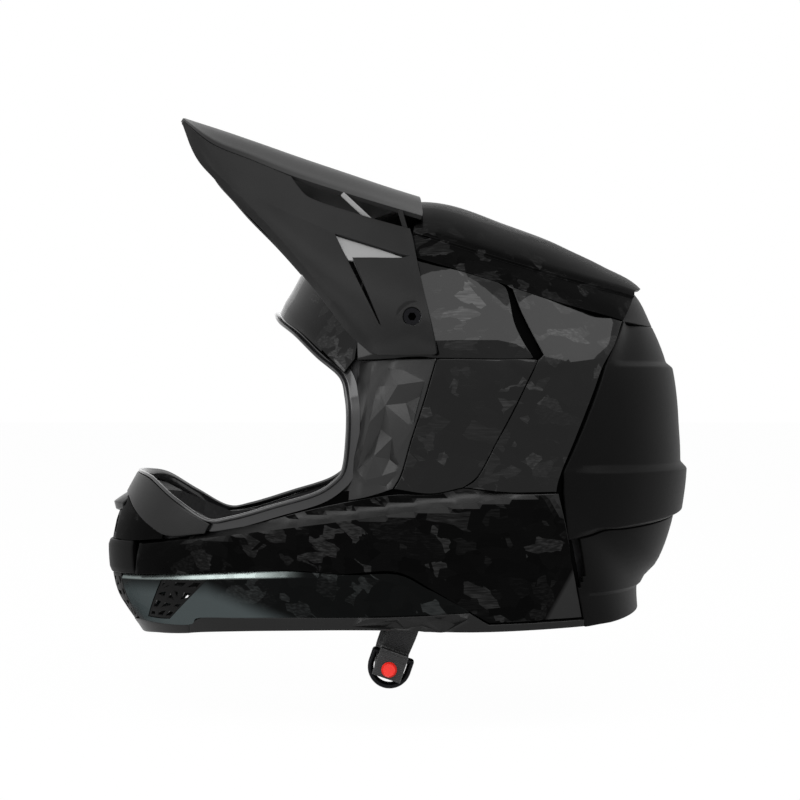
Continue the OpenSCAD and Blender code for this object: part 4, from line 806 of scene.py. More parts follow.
def throughRows(rows, count, crisp=False):
    # rows between the given ones, on smooth curves, or on straight runs where creases stay crisp
    rows = np.asarray(rows, float)
    t = np.linspace(0, len(rows) - 1, count)
    i = np.clip(t.astype(int), 0, len(rows) - 2)
    f = (t - i).reshape((-1,) + (1,) * (rows.ndim - 1))
    b, c = rows[i], rows[i + 1]
    if crisp or len(rows) == 2:
        return b + (c - b) * f
    a = np.where((i == 0).reshape(f.shape), 2 * b - c, rows[np.maximum(i - 1, 0)])
    d = np.where((i == len(rows) - 2).reshape(f.shape), 2 * c - b, rows[np.minimum(i + 2, len(rows) - 1)])
    return b + 0.5 * f * (c - a + f * (2 * a - 5 * b + 4 * c - d + f * (3 * (b - c) + d - a)))


def mirrored(rail):
    # a rail, or rows, from the left side to the middle plane, carried on to the right side
    rail = np.asarray(rail, float)
    return np.vstack([rail, rail[-2::-1] * [1, -1, 1, 1]])


def withLift(rail, lift=0.0):
    # knots (x, y, z, lift); those that bring no lift get this one
    return np.array([(*knot, lift)[:4] for knot in rail], float)


def onBody(points):
    # knots with a lift go onto the body and out by it
    points = np.asarray(points, float)
    return outward(settle(points[..., :3]), points[..., 3])


def gridSolid(outer, inner, gaps=()):
    # a closed sheet between two grids of the same size; cells in gaps are left open
    rows, columns = outer.shape[:2]
    index = np.arange(rows * columns).reshape(rows, columns)
    under = index + rows * columns
    cells = [cell for cell in np.ndindex(rows - 1, columns - 1) if cell not in gaps]
    kept, faces = set(cells), []
    for r, c in cells:
        a, b, d, e = (r, c), (r, c + 1), (r + 1, c + 1), (r + 1, c)
        faces.append((index[a], index[b], index[d], index[e]))
        faces.append((under[e], under[d], under[b], under[a]))
        for p, q, near in ((a, b, (r - 1, c)), (b, d, (r, c + 1)), (d, e, (r + 1, c)), (e, a, (r, c - 1))):
            if near not in kept:
                faces.append((index[q], index[p], under[p], under[q]))
    used = np.unique([v for face in faces for v in face])
    number = {old: new for new, old in enumerate(used)}
    faces = [tuple(number[v] for v in face) for face in faces]
    points = np.vstack([outer.reshape(-1, 3), inner.reshape(-1, 3)])[used]
    # the signed volume tells whether the faces point outwards
    a, b, c, d = points[np.array(faces)].transpose(1, 0, 2)
    volume = sum(np.einsum("ij,ij->i", a, np.cross(p, q)).sum() for p, q in ((b, c), (c, d)))
    return points, faces if volume > 0 else [face[::-1] for face in faces]


def sheetOf(grid, wall=panel["wall"], gaps=()):
    # a sheet of even thickness whose outer face goes through the knots
    outer = onBody(grid)
    return gridSolid(outer, outward(outer, -wall), gaps)


def gridPanel(name, rails, finish, rows, columns, wall=panel["wall"], crisp=False, gaps=(), soft=0.4, both=False,
              nodes=None, knots=False):
    # a panel through rails from the side; it runs on over the middle plane, or with both it is a pair
    drawn = []
    for rail in rails:
        rail = withLift(rail) if both else mirrored(withLift(rail))
        drawn.append(throughRows(rail, columns) if knots else resample(rail, columns))
    points, faces = sheetOf(throughRows(drawn, rows, crisp), wall, gaps)
    extras = [softenEdges(soft * 0.001)]
    if both:
        makePair(name, points, faces, finish, extras=extras)
    else:
        makePiece(name + "_dressed", points, faces, finish, nodes=[name] if nodes is None else nodes, extras=extras)
    print("made", name, len(faces))


# the roof: from its hem up to a ledge, the raised edge and the crown
roof = {"edge": [(-38.4, 98.4), (-11.8, 90), (17.2, 81), (50, 71.8), (90, 62.2)], "edgeLift": 3.5,
        "ledgeDrop": 2.8, "ledgeLift": 2.5, "tuckDrop": 3.2, "tuckLift": 1.1, "columns": 41,
        "mid": [(-36, -38, 116), (-3, -44, 107), (29, -43, 96), (62, -38, 82), (99, -30, 67)], "midLift": 0.8,
        "top": [(-34, 0, 121.5), (0, 0, 113.6), (34, 0, 102), (68, 0, 87), (102, 0, 69.4)], "topLift": 0.5}


def fromSide(points, lift, drop=0.0):
    points = resample([(x, z - drop) for x, z in points], roof["columns"])
    return np.hstack([leftOf(points), np.full((roof["columns"], 1), lift)])


hem = fromSide(seams["band"], 0.0)
tucked = fromSide(roof["edge"], roof["tuckLift"], roof["tuckDrop"])
ledge = fromSide(roof["edge"], roof["ledgeLift"], roof["ledgeDrop"])
edge = fromSide(roof["edge"], roof["edgeLift"])
mid, top = (resample(withLift(roof[name], roof[name + "Lift"]), roof["columns"]) for name in ("mid", "top"))
crossRows = []
for part, count, crisp in (([hem, tucked], 5, True), ([tucked, ledge], 2, True), ([ledge, edge], 3, True),
                           ([edge, mid, top], 22, False)):
    crossRows += list(throughRows(part, count, crisp))[bool(crossRows):]
points, faces = sheetOf(mirrored(crossRows))
makePiece("roof_shell_dressed", points, faces, "carbonLow", nodes=["roof_shell"], extras=[softenEdges(0.0003, 32)])

# the forehead under the visor, its lowest part turned in as a band along the eye opening
brow = {"rear": [(-73, -97, 24), (-70, -92, 62), (-68, -72, 93), (-42, -62, 102), (-36, -30, 117), (-35, 0, 121)],
        "low": [(-78, -93, 15), (-92, -80, 27), (-108, -62, 42), (-118, -42, 50), (-122, -21, 55), (-123.4, 0, 58)],
        "tuck": -3.6, "band": 0.14, "bandLift": 0.3, "turnIn": 2.0}
rear, low = (resample(withLift(brow[name], brow["tuck"]), 33) for name in ("rear", "low"))
bandTop = low + (rear - low) * brow["band"]
bandTop[:, 3] += brow["bandLift"]
lipRow = low - [0, 0, 0, brow["turnIn"]]
grid = np.concatenate([throughRows([rear, bandTop], 18), [low * 0.55 + bandTop * 0.45], [lipRow]])
grid = np.concatenate([grid, grid[:, -2::-1] * [1, -1, 1, 1]], axis=1)
points, faces = sheetOf(grid)
makePiece("forehead_shell_dressed", points, faces, "carbon", nodes=["forehead_shell"], extras=[softenEdges(0.0005)])

# the matte front rim of the chin bar across the nose
gridPanel("nose_trim", [
    [(-157.2, -77, -72.2), (-178, -64, -60.2), (-196, -42, -47.6), (-206, -22, -44), (-209, 0, -43.4)],
    [(-158.6, -76, -74.8), (-182, -61.5, -69.0), (-199.7, -41, -57.5), (-210, -22.5, -50.4), (-213.6, 0, -48.8)],
    [(-160.2, -75, -77.9), (-186, -59.5, -79.5), (-203, -40, -67), (-213, -23, -57), (-217, 0, -55)]],
    "lip", 14, 61, soft=0.7)
# the small peak over the nose vent
gridPanel("nose_peak", [
    [(-211.5, -27, -57, -.8), (-215, -14, -56, -.5), (-217, 0, -55.5, -.5)],
    [(-214, -24, -63, 1.2), (-218, -12, -63.6, 4.0), (-219.5, 0, -63.9, 4.6)],
    [(-214.5, -23, -66, -.5), (-219, -12, -67.2, 1.2), (-221, 0, -67.6, 1.6)]],
    "lip", 9, 31, wall=3.0, crisp=True, soft=0.5, nodes=())
gridPanel("nose_shell", [[(-213, -23, -57), (-203, -40, -67), (-186, -59.5, -79.5)],
                         [(-217, -23, -84), (-207, -42, -84), (-187, -59.5, -82)]],
          "carbonLow", 11, 18, both=True)

# the block at the front of the chin bar, crisp above and below
gridPanel("chin_bumper", [
    [(-206.2, -43, -84, 0), (-216, -26, -84.5, .2), (-221, -13, -85, .4), (-223, 0, -85, .4)],
    [(-206.6, -43, -88, .5), (-216.6, -26, -88, 1), (-221.6, -13, -88.5, 1.4), (-224, 0, -88.5, 1.4)],
    [(-206.6, -43, -101, .5), (-216.6, -26, -101, 1), (-221.6, -13, -101.5, 1.2), (-224, 0, -101.5, 1.2)],
    [(-206.2, -43, -104.4, 0), (-216, -26, -104.8, .2), (-221, -13, -105, .2), (-223, 0, -105, .2)]],
    "rear", 13, 49, wall=panel["thickWall"], crisp=True, soft=0.9, knots=True)

# the smooth lower chin panel, with the cells of its window left open
gridPanel("lower_chin", [
    [(-213, -28, -104.9, -1.9), (-188, -56, -104.2, -1.9), (-158.5, -70.5, -101.8, -1.9),
     (-145, -77, -100.6, -1.9), (-120, -87, -99.2, -1.6), (-100, -93, -99, -1), (-75, -101, -99.9, -.6),
     (-48, -107, -98.9, 0), (-30, -110, -107.8, 0)],
    [(-213, -28, -107.2), (-188.5, -55.5, -106.6), (-159.5, -70, -105.4), (-145, -76.6, -104), (-120, -86.5, -103),
     (-100, -92.5, -102.6), (-75, -100.5, -103), (-48, -106.5, -102.4), (-27.5, -110.5, -109)],
    [(-209, -26, -130), (-199.5, -35, -131.2), (-184, -47, -130.6), (-162, -62, -126), (-135, -75, -124),
     (-110, -84, -122.8), (-80, -94, -121.8), (-48, -102, -120.6), (-9, -107.5, -118.6)],
    [(-206, -25, -134.3), (-197, -36, -134.5), (-172, -55, -133.6), (-165, -60, -128.6), (-135, -74, -126.8),
     (-110, -83, -125.4), (-80, -93.5, -124.4), (-48, -101.5, -123), (-7, -107.3, -120.4)]],
    "carbonGloss", 13, 41, both=True, crisp=True, gaps=[(4 + r, 5 + c) for r in range(4) for c in range(5)],
    soft=0.5, knots=True)
gridPanel("front_trim", [
    [(-172, -55, -133.6), (-186, -45, -134.2), (-197, -36, -134.5), (-206, -25, -134.3), (-211, 0, -134.2)],
    [(-172, -52, -139), (-186, -41, -140.5), (-196, -31, -141.5), (-203, -16, -142), (-206, 0, -142)]],
    "lip", 5, 49, wall=panel["thickWall"], soft=0.6, knots=True)

# the back: how far each rail has turned to the tail, and how much of its width is left there
backTurn = [(.28, .9), (.62, .68), (.9, .36), (1, 0)]


def backPart(name, tiers, columns, bevel, angle, gaps=()):
    # a tier is a rail's tail height, its x at the seam and at the tail, its lift, its drop to the seam,
    # and the rows down to the next tier
    rails, rows = [], []
    for height, seamX, tailX, lift, drop, _ in tiers:
        side = leftOf((seamX, height - drop))
        rail = [(*side, 0.0)] + [(seamX + (tailX - seamX) * share, side[1] * out, height - drop * (1 - share), lift)
                                 for share, out in backTurn]
        rails.append(throughRows(mirrored(rail), columns))
    for a, b, tier in zip(rails[:-1], rails[1:], tiers):
        rows += [a + (b - a) * t for t in np.linspace(0, 1, tier[-1] + 1)[bool(rows):]]
    points, faces = sheetOf(rows, gaps=gaps)
    makePiece(name + "_dressed", points, faces, "rear", nodes=[name], extras=[softenEdges(bevel, angle)])


# three tiers, the bridge under the roof's tail, and the neck part with the slots at its sides
backPart("rear_shell", [
    (46, 83.4, 112, -4.6, 0, 5), (23.5, 72.8, 120, -3.6, 0, 2), (19.5, 71, 121, -.4, 0, 14),
    (-37, 47.9, 125, .5, 0, 2), (-41, 46.1, 124.5, 4.5, 0, 8), (-65, 48.4, 122, 4.5, 11, 2),
    (-68.5, 49.2, 121, 0, 11, 0)], 57, 0.0008, 22)
gridPanel("rear_bridge", [
    [(81, -82, 49, -4.5), (86, -62, 62.5, -4.5), (93, -35, 68.5, -4.5), (97, 0, 71.5, -4.5)],
    [(83.4, -82, 46.5, -1.2), (99, -62, 46.5, -3.4), (109, -35, 46.5, -4.6), (112.5, 0, 46.5, -4.6)]],
    "rear", 10, 49, knots=True)
backPart("neck_shell", [
    (-69.2, 49.4, 121, 0, 11, 2), (-78, 50.6, 118.5, 0, 7, 8), (-110.5, 55.8, 101.4, .8, 0, 1),
    (-112.5, 56.2, 100.6, -1.2, 0, 4), (-125.7, 60, 99.5, 0, 5, 0)], 65, 0.0005, 30,
    [(r, c) for c, low in ((0, 9), (1, 8), (2, 7), (61, 7), (62, 8), (63, 9)) for r in range(low)])


def meshPlate(name, corners, across, down, seed, bar, both=False):
    # moulded mesh, irregular three to five sided openings in a thin plate;
    # corners: upper front, upper rear, lower rear, lower front
    corners = np.array(corners, float)
    wide, high = (np.linalg.norm(corners[i] - corners[0]) for i in (1, 3))
    sunk, loose, wall = 0.4, 0.26, 2.0
    draw = random.Random(seed)

    def place(spots, lifts):
        u, v = spots[:, :1] / wide, spots[:, 1:] / high
        p = (corners[0] * (1 - u) * v + corners[1] * u * v + corners[2] * u * (1 - v)
             + corners[3] * (1 - u) * (1 - v))
        return outward(settle(p), lifts - sunk)

    knots = np.zeros((down + 1, across + 1, 2))
    for r, c in np.ndindex(down + 1, across + 1):
        knots[r, c] = ((c + draw.uniform(-1, 1) * loose * (0 < c < across)) * wide / across,
                       (r + draw.uniform(-1, 1) * loose * (0 < r < down)) * high / down)
    holes = []
    for r, c in np.ndindex(down, across):
        a, b, d, e = knots[r, c], knots[r, c + 1], knots[r + 1, c + 1], knots[r + 1, c]
        if draw.random() < 0.85:
            shapes = [[a, b, d, e]]
        else:
            shapes = [[a, b, d], [a, d, e]] if draw.random() < 0.5 else [[a, b, e], [b, d, e]]
        for shape in shapes:
            small = insetLoop(np.array(shape), bar + 0.35)
            ring = np.roll(small, -1, axis=0) - small
            ahead = np.roll(ring, -1, axis=0)
            if (ring[:, 0] * ahead[:, 1] - ring[:, 1] * ahead[:, 0] > 0.3).all():
                holes.append(small)
    loop = joined([(0, 0), (wide, 0)], [(wide, 0), (wide, high)], [(wide, high), (0, high)], [(0, high), (0, 0)])
    points, faces, hard = panelMesh(loop, holes, [], lambda spots: 0.0, wall, gap=-0.45, place=place)
    extras = [weighNormals, turnOut]
    if both:
        makePair(name, points, faces, "mesh", sharp=hard, extras=extras)
    else:
        makePiece(name + "_dressed", points, faces, "mesh", nodes=[name], sharp=hard, extras=extras)


def tangents(points):
    return unit(np.gradient(points, axis=0))


def flangeStrip(name, run, depth, reach=5.0, thick=0.6):
    # the tongue behind a seam that its panels are bonded to, in black as painted shade in the gap
    run = smoothLine(run)
    way = tangents(run)
    aside = np.stack([-way[:, 1], way[:, 0]], axis=-1)
    grid = np.array([leftOf(run + aside * a, -depth) for a in (-reach, -reach / 2, 0, reach / 2, reach)])
    points, faces = gridSolid(grid, outward(grid, -thick))
    makePair(name, points, faces, "paintedShade", nodes=(), ending="")


flangeStrip("flange_jaw", [(-203, -104), (-184, -103), (-158, -101.5), (-132, -99.6), (-106, -98.6), (-80, -99.7),
                           (-52, -98.4)], 3.8)
flangeStrip("flange_lip", [(-50, -98.4), (-30, -107), (-13, -117), (4, -125), (30, -124.4), (62, -124.0)], 5.2)
flangeStrip("flange_cheek", [(-161, -76.5), (-134, -71.2), (-107, -64), (-80.6, -58), (-50.6, -52.5), (-29, -52),
                             (-11, -50), (16, -52), (40, -52.5)], 3.9)
flangeStrip("flange_bumper", [(-205, -82), (-205, -94), (-205, -105)], 3.8, reach=3.0)
flangeStrip("flange_step", [(-178, -134.5), (-172, -133.6), (-165, -128.6), (-135, -126.8)], 3.4, reach=3.5)
flangeStrip("flange_vent", [(11, 69), (16, 60), (20, 48), (25, 37), (32, 24)], 3.2, reach=7.0)
flangeStrip("flange_rear", [(80, 44), (71, 22.3), (63, 3), (52.6, -22.6), (44, -44.5), (42.4, -56), (46.5, -74),
                            (54, -112), (57, -128)], 3.2)
meshPlate("side_grille", [(-188.3, -56.5, -106.9), (-159.7, -69.5, -105.6), (-184.0, -46.5, -130.4),
                          (-199.2, -35.6, -131.0)], 3, 4, 7, 1.5, both=True)
meshPlate("front_grille", [(-216, -28, -104.9), (-216, 28, -104.9), (-210, 25, -134.2), (-210, -25, -134.2)],
          7, 4, 11, 1.2)
print("front, back and roof made")

# the visor: a blade over the brow, a wing on each side with its pocket, and bars across each side slot
visor = {
    "wall": 2.6, "pivot": (-39.7, 47.0), "screwHole": 5.1, "clear": 0.9, "bevel": 5.0,
    "low": [(-176.5, -47, 165.0), (-166, -62, 141.5), (-146, -74, 118), (-122, -84, 95.5), (-101, -92, 70.5),
            (-85, -97, 48), (-72, -104, 34), (-59, -110, 26), (-24, -121, 25)],
    "mid": [(-175.5, -49, 165.5), (-160, -63, 146.5), (-138, -72, 129), (-114, -80, 114), (-97, -86, 96.5),
            (-80, -90, 88), (-67, -94, 82), (-51, -100, 72), (-34, -106, 70)],
    "high": [(-174.8, -51, 165.8), (-156.7, -62, 150.4), (-134.5, -67, 140.8), (-110.2, -71, 130.8), (-100, -73, 118.6),
             (-82, -75, 113.5), (-69, -76, 109.5), (-54, -77, 104.5), (-44, -77, 101)],
    "crease": [(-175.2, -50.5, 166.2), (-156.7, -62, 151.0), (-134.5, -67, 141.4), (-110.2, -71, 131.4),
               (-78.1, -74, 120.7), (-56, -75.5, 113.9), (-33.5, -76.5, 107.2)],
    "edge": [(-176.0, -46, 168.4), (-156, -59, 153.4), (-133.5, -62.5, 144.3), (-109.4, -65, 134.6),
             (-77.6, -66.5, 124.0), (-55.5, -67, 117.2), (-33, -67, 110.4)],
    "crown": [(-177.3, -22, 171.6), (-156, -30, 163.0), (-132.5, -32, 155.0), (-108.6, -33, 146.4), (-77, -34, 135.6),
              (-55, -34, 128.2), (-34, -34, 121.6)],
    "spine": [(-178.3, 0, 173.6), (-155, 0, 166.0), (-131.5, 0, 157.4), (-108, 0, 149.0), (-77, 0, 138.7),
              (-55, 0, 131.4), (-35, 0, 125.2)],
    "lowEdge": [(-176.9, 165.5), (-166.6, 141.8), (-156.5, 129.6), (-146.8, 118.2), (-127.7, 98.6), (-106.1, 73.6),
                (-88.7, 51.9), (-77.3, 37.5), (-64.0, 26.1)],
    "rearEdge": [(-25.8, 25.9), (-33.1, 62.6), (-37.6, 84.4), (-40.9, 98.3)],
    "slotEdge": [(-40.9, 98.3), (-68.3, 106.6), (-100.9, 118.5), (-106.3, 124.5)],
    "topEdge": [(-110.2, 130.4), (-134.5, 140.4), (-156.7, 150.0), (-174.8, 165.4)],
    "pocket": [(-84.0, 96.4), (-40.6, 81.6), (-73.8, 82.2), (-57.2, 41.6), (-58.6, 43.4)],
}
sheet = np.vstack([smoothLine(visor[name], 2.0) for name in ("low", "mid", "high")] + [[(-39.7, -115.3, 47)]] * 60
                  + [[(-39.7 + 8 * c, -115.3, 47 + 8 * s) for c, s in ((1, 0), (0, 1), (-1, 0), (0, -1))]] * 8)


def powers(x, z):
    x, z = (x + 100) / 80, (z - 90) / 80
    return np.stack([x ** i * z ** j for i in range(5) for j in range(5 - i)], axis=-1)


wingFit = np.linalg.lstsq(powers(sheet[:, 0], sheet[:, 2]), sheet[:, 1], rcond=None)[0]


def wingAt(x, z):
    return powers(x, z) @ wingFit


def offShell(p, wall):
    # the wing stays clear of the shell at every tilt of the visor
    near = np.full(p.shape[:-1], 1e9)
    pivotX, pivotZ = visor["pivot"]
    for turn in np.radians((0, 3, 6, 9, 12)):
        dx, dz = p[..., 0] - pivotX, p[..., 2] - pivotZ
        q = np.stack([pivotX + dx * np.cos(turn) - dz * np.sin(turn), p[..., 1],
                      pivotZ + dx * np.sin(turn) + dz * np.cos(turn)], axis=-1)
        near = np.minimum(near, (bodyValue(q) - 1) / np.linalg.norm(bodyGradient(q), axis=-1))
    return outward(p, np.maximum(0, wall + visor["clear"] - near))


def wingPlace(spots, lifts):
    x, z = spots.T
    slopeX, slopeZ = (wingAt(x + 1, z) - wingAt(x - 1, z)) / 2, (wingAt(x, z + 1) - wingAt(x, z - 1)) / 2
    normal = unit(np.stack([slopeX, -np.ones_like(x), slopeZ], axis=-1))
    p = offShell(np.stack([x, wingAt(x, z), z], axis=-1), visor["wall"])
    return p + normal * np.broadcast_to(lifts, x.shape)[:, None]


lowEdge = smoothLine(visor["lowEdge"], 2.5)
wingLoop = joined(lowEdge, [(-64.0, 26.1), (-60.0, 25.2), (-27.0, 25.0)], visor["rearEdge"], visor["slotEdge"],
                  [(-106.3, 124.5), (-110.2, 130.4)], visor["topEdge"], np.array([(-174.8, 165.4), (-176.9, 165.5)]))
pocketA, pocketB, pocketE, pocketD, pocketF = np.array(visor["pocket"])
pocketHole = joined([pocketA, pocketF], np.array([pocketF, pocketD]), [pocketD, pocketE], [pocketE, pocketB],
                    [pocketB, pocketA])
floorA, floorE, floorB = pocketA + (-4.5, 4.0), pocketE + (-2.2, -1.5), pocketB + (2, -1.5)


def wingLift(spots):
    # the lower edge is bevelled, the wing's middle is a little hollow, and a ring stands round the screw
    fromLow = distanceTo(spots, lowEdge, closed=False)
    fromScrew = np.linalg.norm(spots - visor["pivot"], axis=1)
    hollow = np.clip((distanceTo(spots, wingLoop) - 8) / 16, 0, 1) * np.clip((-62 - spots[:, 0]) / 30, 0, 1)
    return (-0.42 * np.clip(visor["bevel"] - fromLow, 0, 9) - 1.1 * hollow
            + 0.5 * np.clip((8.2 - fromScrew) / 0.8, 0, 1) + foldLift(spots, [upperFold]))


def floorLift(spots):
    # the pocket's face leans in towards its top corner; its brightness is partly this lean and partly painted light in
    # its colour
    return -0.9 - 0.1 * np.clip(spots[:, 1] - 81.5, 0, 14)


lowCrease = {"line": np.array([(-162.6, 141.4), (-147.5, 126.6), (-133.0, 112.2), (-103.9, 79.3), (-84.9, 55.0)])}
upperFold = cornerFold((-140.0, 122.0), (-84.0, 96.4), 0.14, (-100, 130), 14)
points, faces, hard = panelMesh(wingLoop, [pocketHole, circleLoop(visor["pivot"], visor["screwHole"], 40)],
                                [lowCrease, upperFold], wingLift, visor["wall"], gap=0.0, place=wingPlace)
asVisor = {"riding": "visor", "nodes": ["visor"]}
makePair("visor_wing", points, faces, "visor", ending="", sharp=hard, extras=[weighNormals], **asVisor)
points, faces, hard = panelMesh(joined([floorA, floorE], [floorE, floorB], [floorB, floorA]), [], [], floorLift, 1.2,
                                gap=0.0, place=wingPlace)
makePair("visor_pocket", points, faces, "pocket", ending="", sharp=hard, extras=[weighNormals], **asVisor)

# the boss between wing and shell: rings (y, radius) round the pivot
rings, count = [(-110.0, 6.4), (-111.7, 6.9), (-112.7, 8.4), (-113.2, 9.2), (-113.2, 5.5), (-110.0, 5.5)], 40
points = np.vstack([np.insert(circleLoop(visor["pivot"], radius, count), 1, y, axis=1) for y, radius in rings])
number = np.arange(len(points)).reshape(len(rings), count)
below, ahead = np.roll(number, -1, axis=0), np.roll(number, -1, axis=1)
faces = [tuple(face) for face in np.stack([number, ahead, np.roll(below, -1, axis=1), below], axis=-1).reshape(-1, 4)]
makePair("visor_boss", points, faces, "visor", ending="", extras=[softenEdges(0.0002)], **asVisor)

# the blade: crisp at its side creases, round over the crown
bladeRails = [resample(visor[name], 49) for name in ("crease", "edge", "crown", "spine")]
bladeSide = throughRows(bladeRails[:2], 4, True)
bladeTop = throughRows(bladeRails[1:] + [bladeRails[2] * [1, -1, 1], bladeRails[1] * [1, -1, 1]], 33)
outer = np.concatenate([bladeSide, bladeTop[1:-1], bladeSide[::-1] * [1, -1, 1]])
normals = unit(np.cross(np.gradient(outer, axis=1), np.gradient(outer, axis=0)))
normals *= np.sign(normals[outer.shape[0] // 2, outer.shape[1] // 2, 2])
points, faces = gridSolid(outer, outer - normals * visor["wall"])
makePiece("visor_blade", points, faces, "visor", extras=[softenEdges(0.0007, 35)], **asVisor)

# two slanted bars across each side slot, the front one in the pocket's painted light grey
barWide, barThick = 2.8, 2.4
for ending, finish, start, end in (("_1", "pocket", (-80.2, -73.8, 120.2), (-63.0, -75.0, 104.0)),
                                   ("_2", "visor", (-46.5, -75.8, 110.5), (-43.0, -77.0, 98.0))):
    run = np.subtract(end, start)
    side = unit(np.cross(run, (0, 1, 0)))
    depth = unit(np.cross(run, side))
    points = np.array([p + side * a * barWide / 2 + depth * b * barThick / 2 for p in (start, end)
                       for a, b in ((-1, -1), (1, -1), (1, 1), (-1, 1))])
    faces = [(0, 1, 2, 3), (7, 6, 5, 4), (0, 4, 5, 1), (1, 5, 6, 2), (2, 6, 7, 3), (3, 7, 4, 0)]
    makePair("visor_bar", points, faces, finish, ending=ending, extras=[lambda piece: turnOut(piece, 2),
                                                                        softenEdges(0.0004)], **asVisor)
print("visor made")


def sweep(points, sides, ups, section, closed=False):
    # a section of (across, up) points carried along a path
    section = np.asarray(section, float)
    count, ring = len(points), len(section)
    grid = points[:, None] + sides[:, None] * section[None, :, :1] + ups[:, None] * section[None, :, 1:]
    faces = []
    for i in range(count if closed else count - 1):
        j = (i + 1) % count
        faces += [(i * ring + k, i * ring + (k + 1) % ring, j * ring + (k + 1) % ring, j * ring + k)
                  for k in range(ring)]
    if not closed:
        faces += [tuple(range(ring))[::-1], tuple((count - 1) * ring + k for k in range(ring))]
    return grid.reshape(-1, 3), faces


# the rubber bead round the eye opening, with its web under the shell's edge
bead = {"radius": 1.1, "lift": -1.2, "web": 6.5, "browTuck": 3.2,
        "half": [(-125.2, 0, 56.6), (-124, -21, 53.6), (-120, -42, 48.2), (-109.8, -63, 40), (-93.6, -80, 25),
                 (-79.6, -94, 12.4), (-76.8, -99, 3), (-75.9, -104, -14), (-79.6, -107, -41), (-84, -106, -46.4),
                 (-93, -103, -52.7), (-118, -93, -60.6), (-145, -83, -68.4), (-158.4, -77, -70.2), (-178.6, -64, -58.6),
                 (-196.8, -42, -45.6), (-206.6, -22, -42.2), (-210, 0, -41.6)]}
half = smoothLine(bead["half"], 2.0)
loop = np.vstack([half, half[-2:0:-1] * [1, -1, 1]])
# over the brow it follows the tucked forehead
path = outward(settle(loop), bead["lift"] - bead["browTuck"] * np.clip((loop[:, 2] - 2) / 14, 0, 1))
up = outward(path, 1.0) - path
away = unit(np.cross(np.roll(path, -1, axis=0) - np.roll(path, 1, axis=0), up))
away *= np.sign(np.sum(away * (path - path.mean(axis=0)), axis=1, keepdims=True))
section = [(bead["radius"] * math.cos(a), bead["radius"] * math.sin(a)) for a in np.radians(range(20, 251, 23))]
section += [(0.0, -2.4), (1.6, -2.9), (bead["web"], -2.9), (bead["web"], -2.0), (2.2, -1.9), (1.2, -1.2)]
points, faces = sweep(path, away, up, section, closed=True)
makePiece("eye_bead_dressed", points, faces, "rubber", nodes=["eye_bead"], extras=[weighNormals, turnOut])

# stitches: one short thread on each point of a run, laid along it
stitchTree = bpy.data.node_groups.new("stitchRun", "GeometryNodeTree")
for name, kind in (("Run", "Geometry"), ("Spacing", "Float"), ("Stitch Length", "Float"), ("Thread Width", "Float"),
                   ("Thread", "Material")):
    stitchTree.interface.new_socket(name=name, in_out="INPUT", socket_type="NodeSocket" + kind)
stitchTree.interface.new_socket(name="Stitches", in_out="OUTPUT", socket_type="NodeSocketGeometry")
given = addNode(stitchTree, "NodeGroupInput").outputs
curve = addNode(stitchTree, "GeometryNodeMeshToCurve", {"Mesh": given["Run"]})
spots = addNode(stitchTree, "GeometryNodeCurveToPoints", {"Curve": curve, "Length": given["Spacing"]}, mode="LENGTH")
turned = addNode(stitchTree, "FunctionNodeAlignRotationToVector", {"Vector": spots.outputs["Tangent"]}, axis="Z")
bean = addNode(stitchTree, "GeometryNodeMeshUVSphere", (6, 4, 0.5))
shape = addNode(stitchTree, "ShaderNodeCombineXYZ",
                (given["Thread Width"], given["Thread Width"], given["Stitch Length"]))
thread = addNode(stitchTree, "GeometryNodeTransform", {"Geometry": bean, "Scale": shape})
laid = addNode(stitchTree, "GeometryNodeInstanceOnPoints", {"Points": spots, "Instance": thread, "Rotation": turned})
real = addNode(stitchTree, "GeometryNodeRealizeInstances", (laid,))
dyed = addNode(stitchTree, "GeometryNodeSetMaterial", {"Geometry": real, "Material": given["Thread"]})
addNode(stitchTree, "NodeGroupOutput", (dyed,))


def evaluated(obj):
    return bpy.data.meshes.new_from_object(obj.evaluated_get(bpy.context.evaluated_depsgraph_get()))


def stitchAlong(name, runs, slot, spacing=2.6, length=1.9, width=0.55):
    # runs are lists of points in mm; the result is one plain mesh
    mesh = bpy.data.meshes.new(name + "Run")
    points, edges = [], []
    for run in runs:
        edges += [(len(points) + i, len(points) + i + 1) for i in range(len(run) - 1)]
        points += [tuple(np.array(p) * 0.001) for p in run]
    mesh.from_pydata(points, edges, [])
    base = addObject(name + "Run", mesh)
    modifier = base.modifiers.new("stitchRun", "NODES")
    modifier.node_group = stitchTree
    values = {"Spacing": spacing * 0.001, "Stitch Length": length * 0.001, "Thread Width": width * 0.001,
              "Thread": finishes["binding"]}
    for item in stitchTree.interface.items_tree:
        if item.in_out == "INPUT" and item.name in values:
            modifier[item.identifier] = values[item.name]
    made = evaluated(base)
    made.polygons.foreach_set("use_smooth", [True] * len(made.polygons))
    bpy.data.objects.remove(base)
    piece = addObject(name, made)
    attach(piece, "helmet")


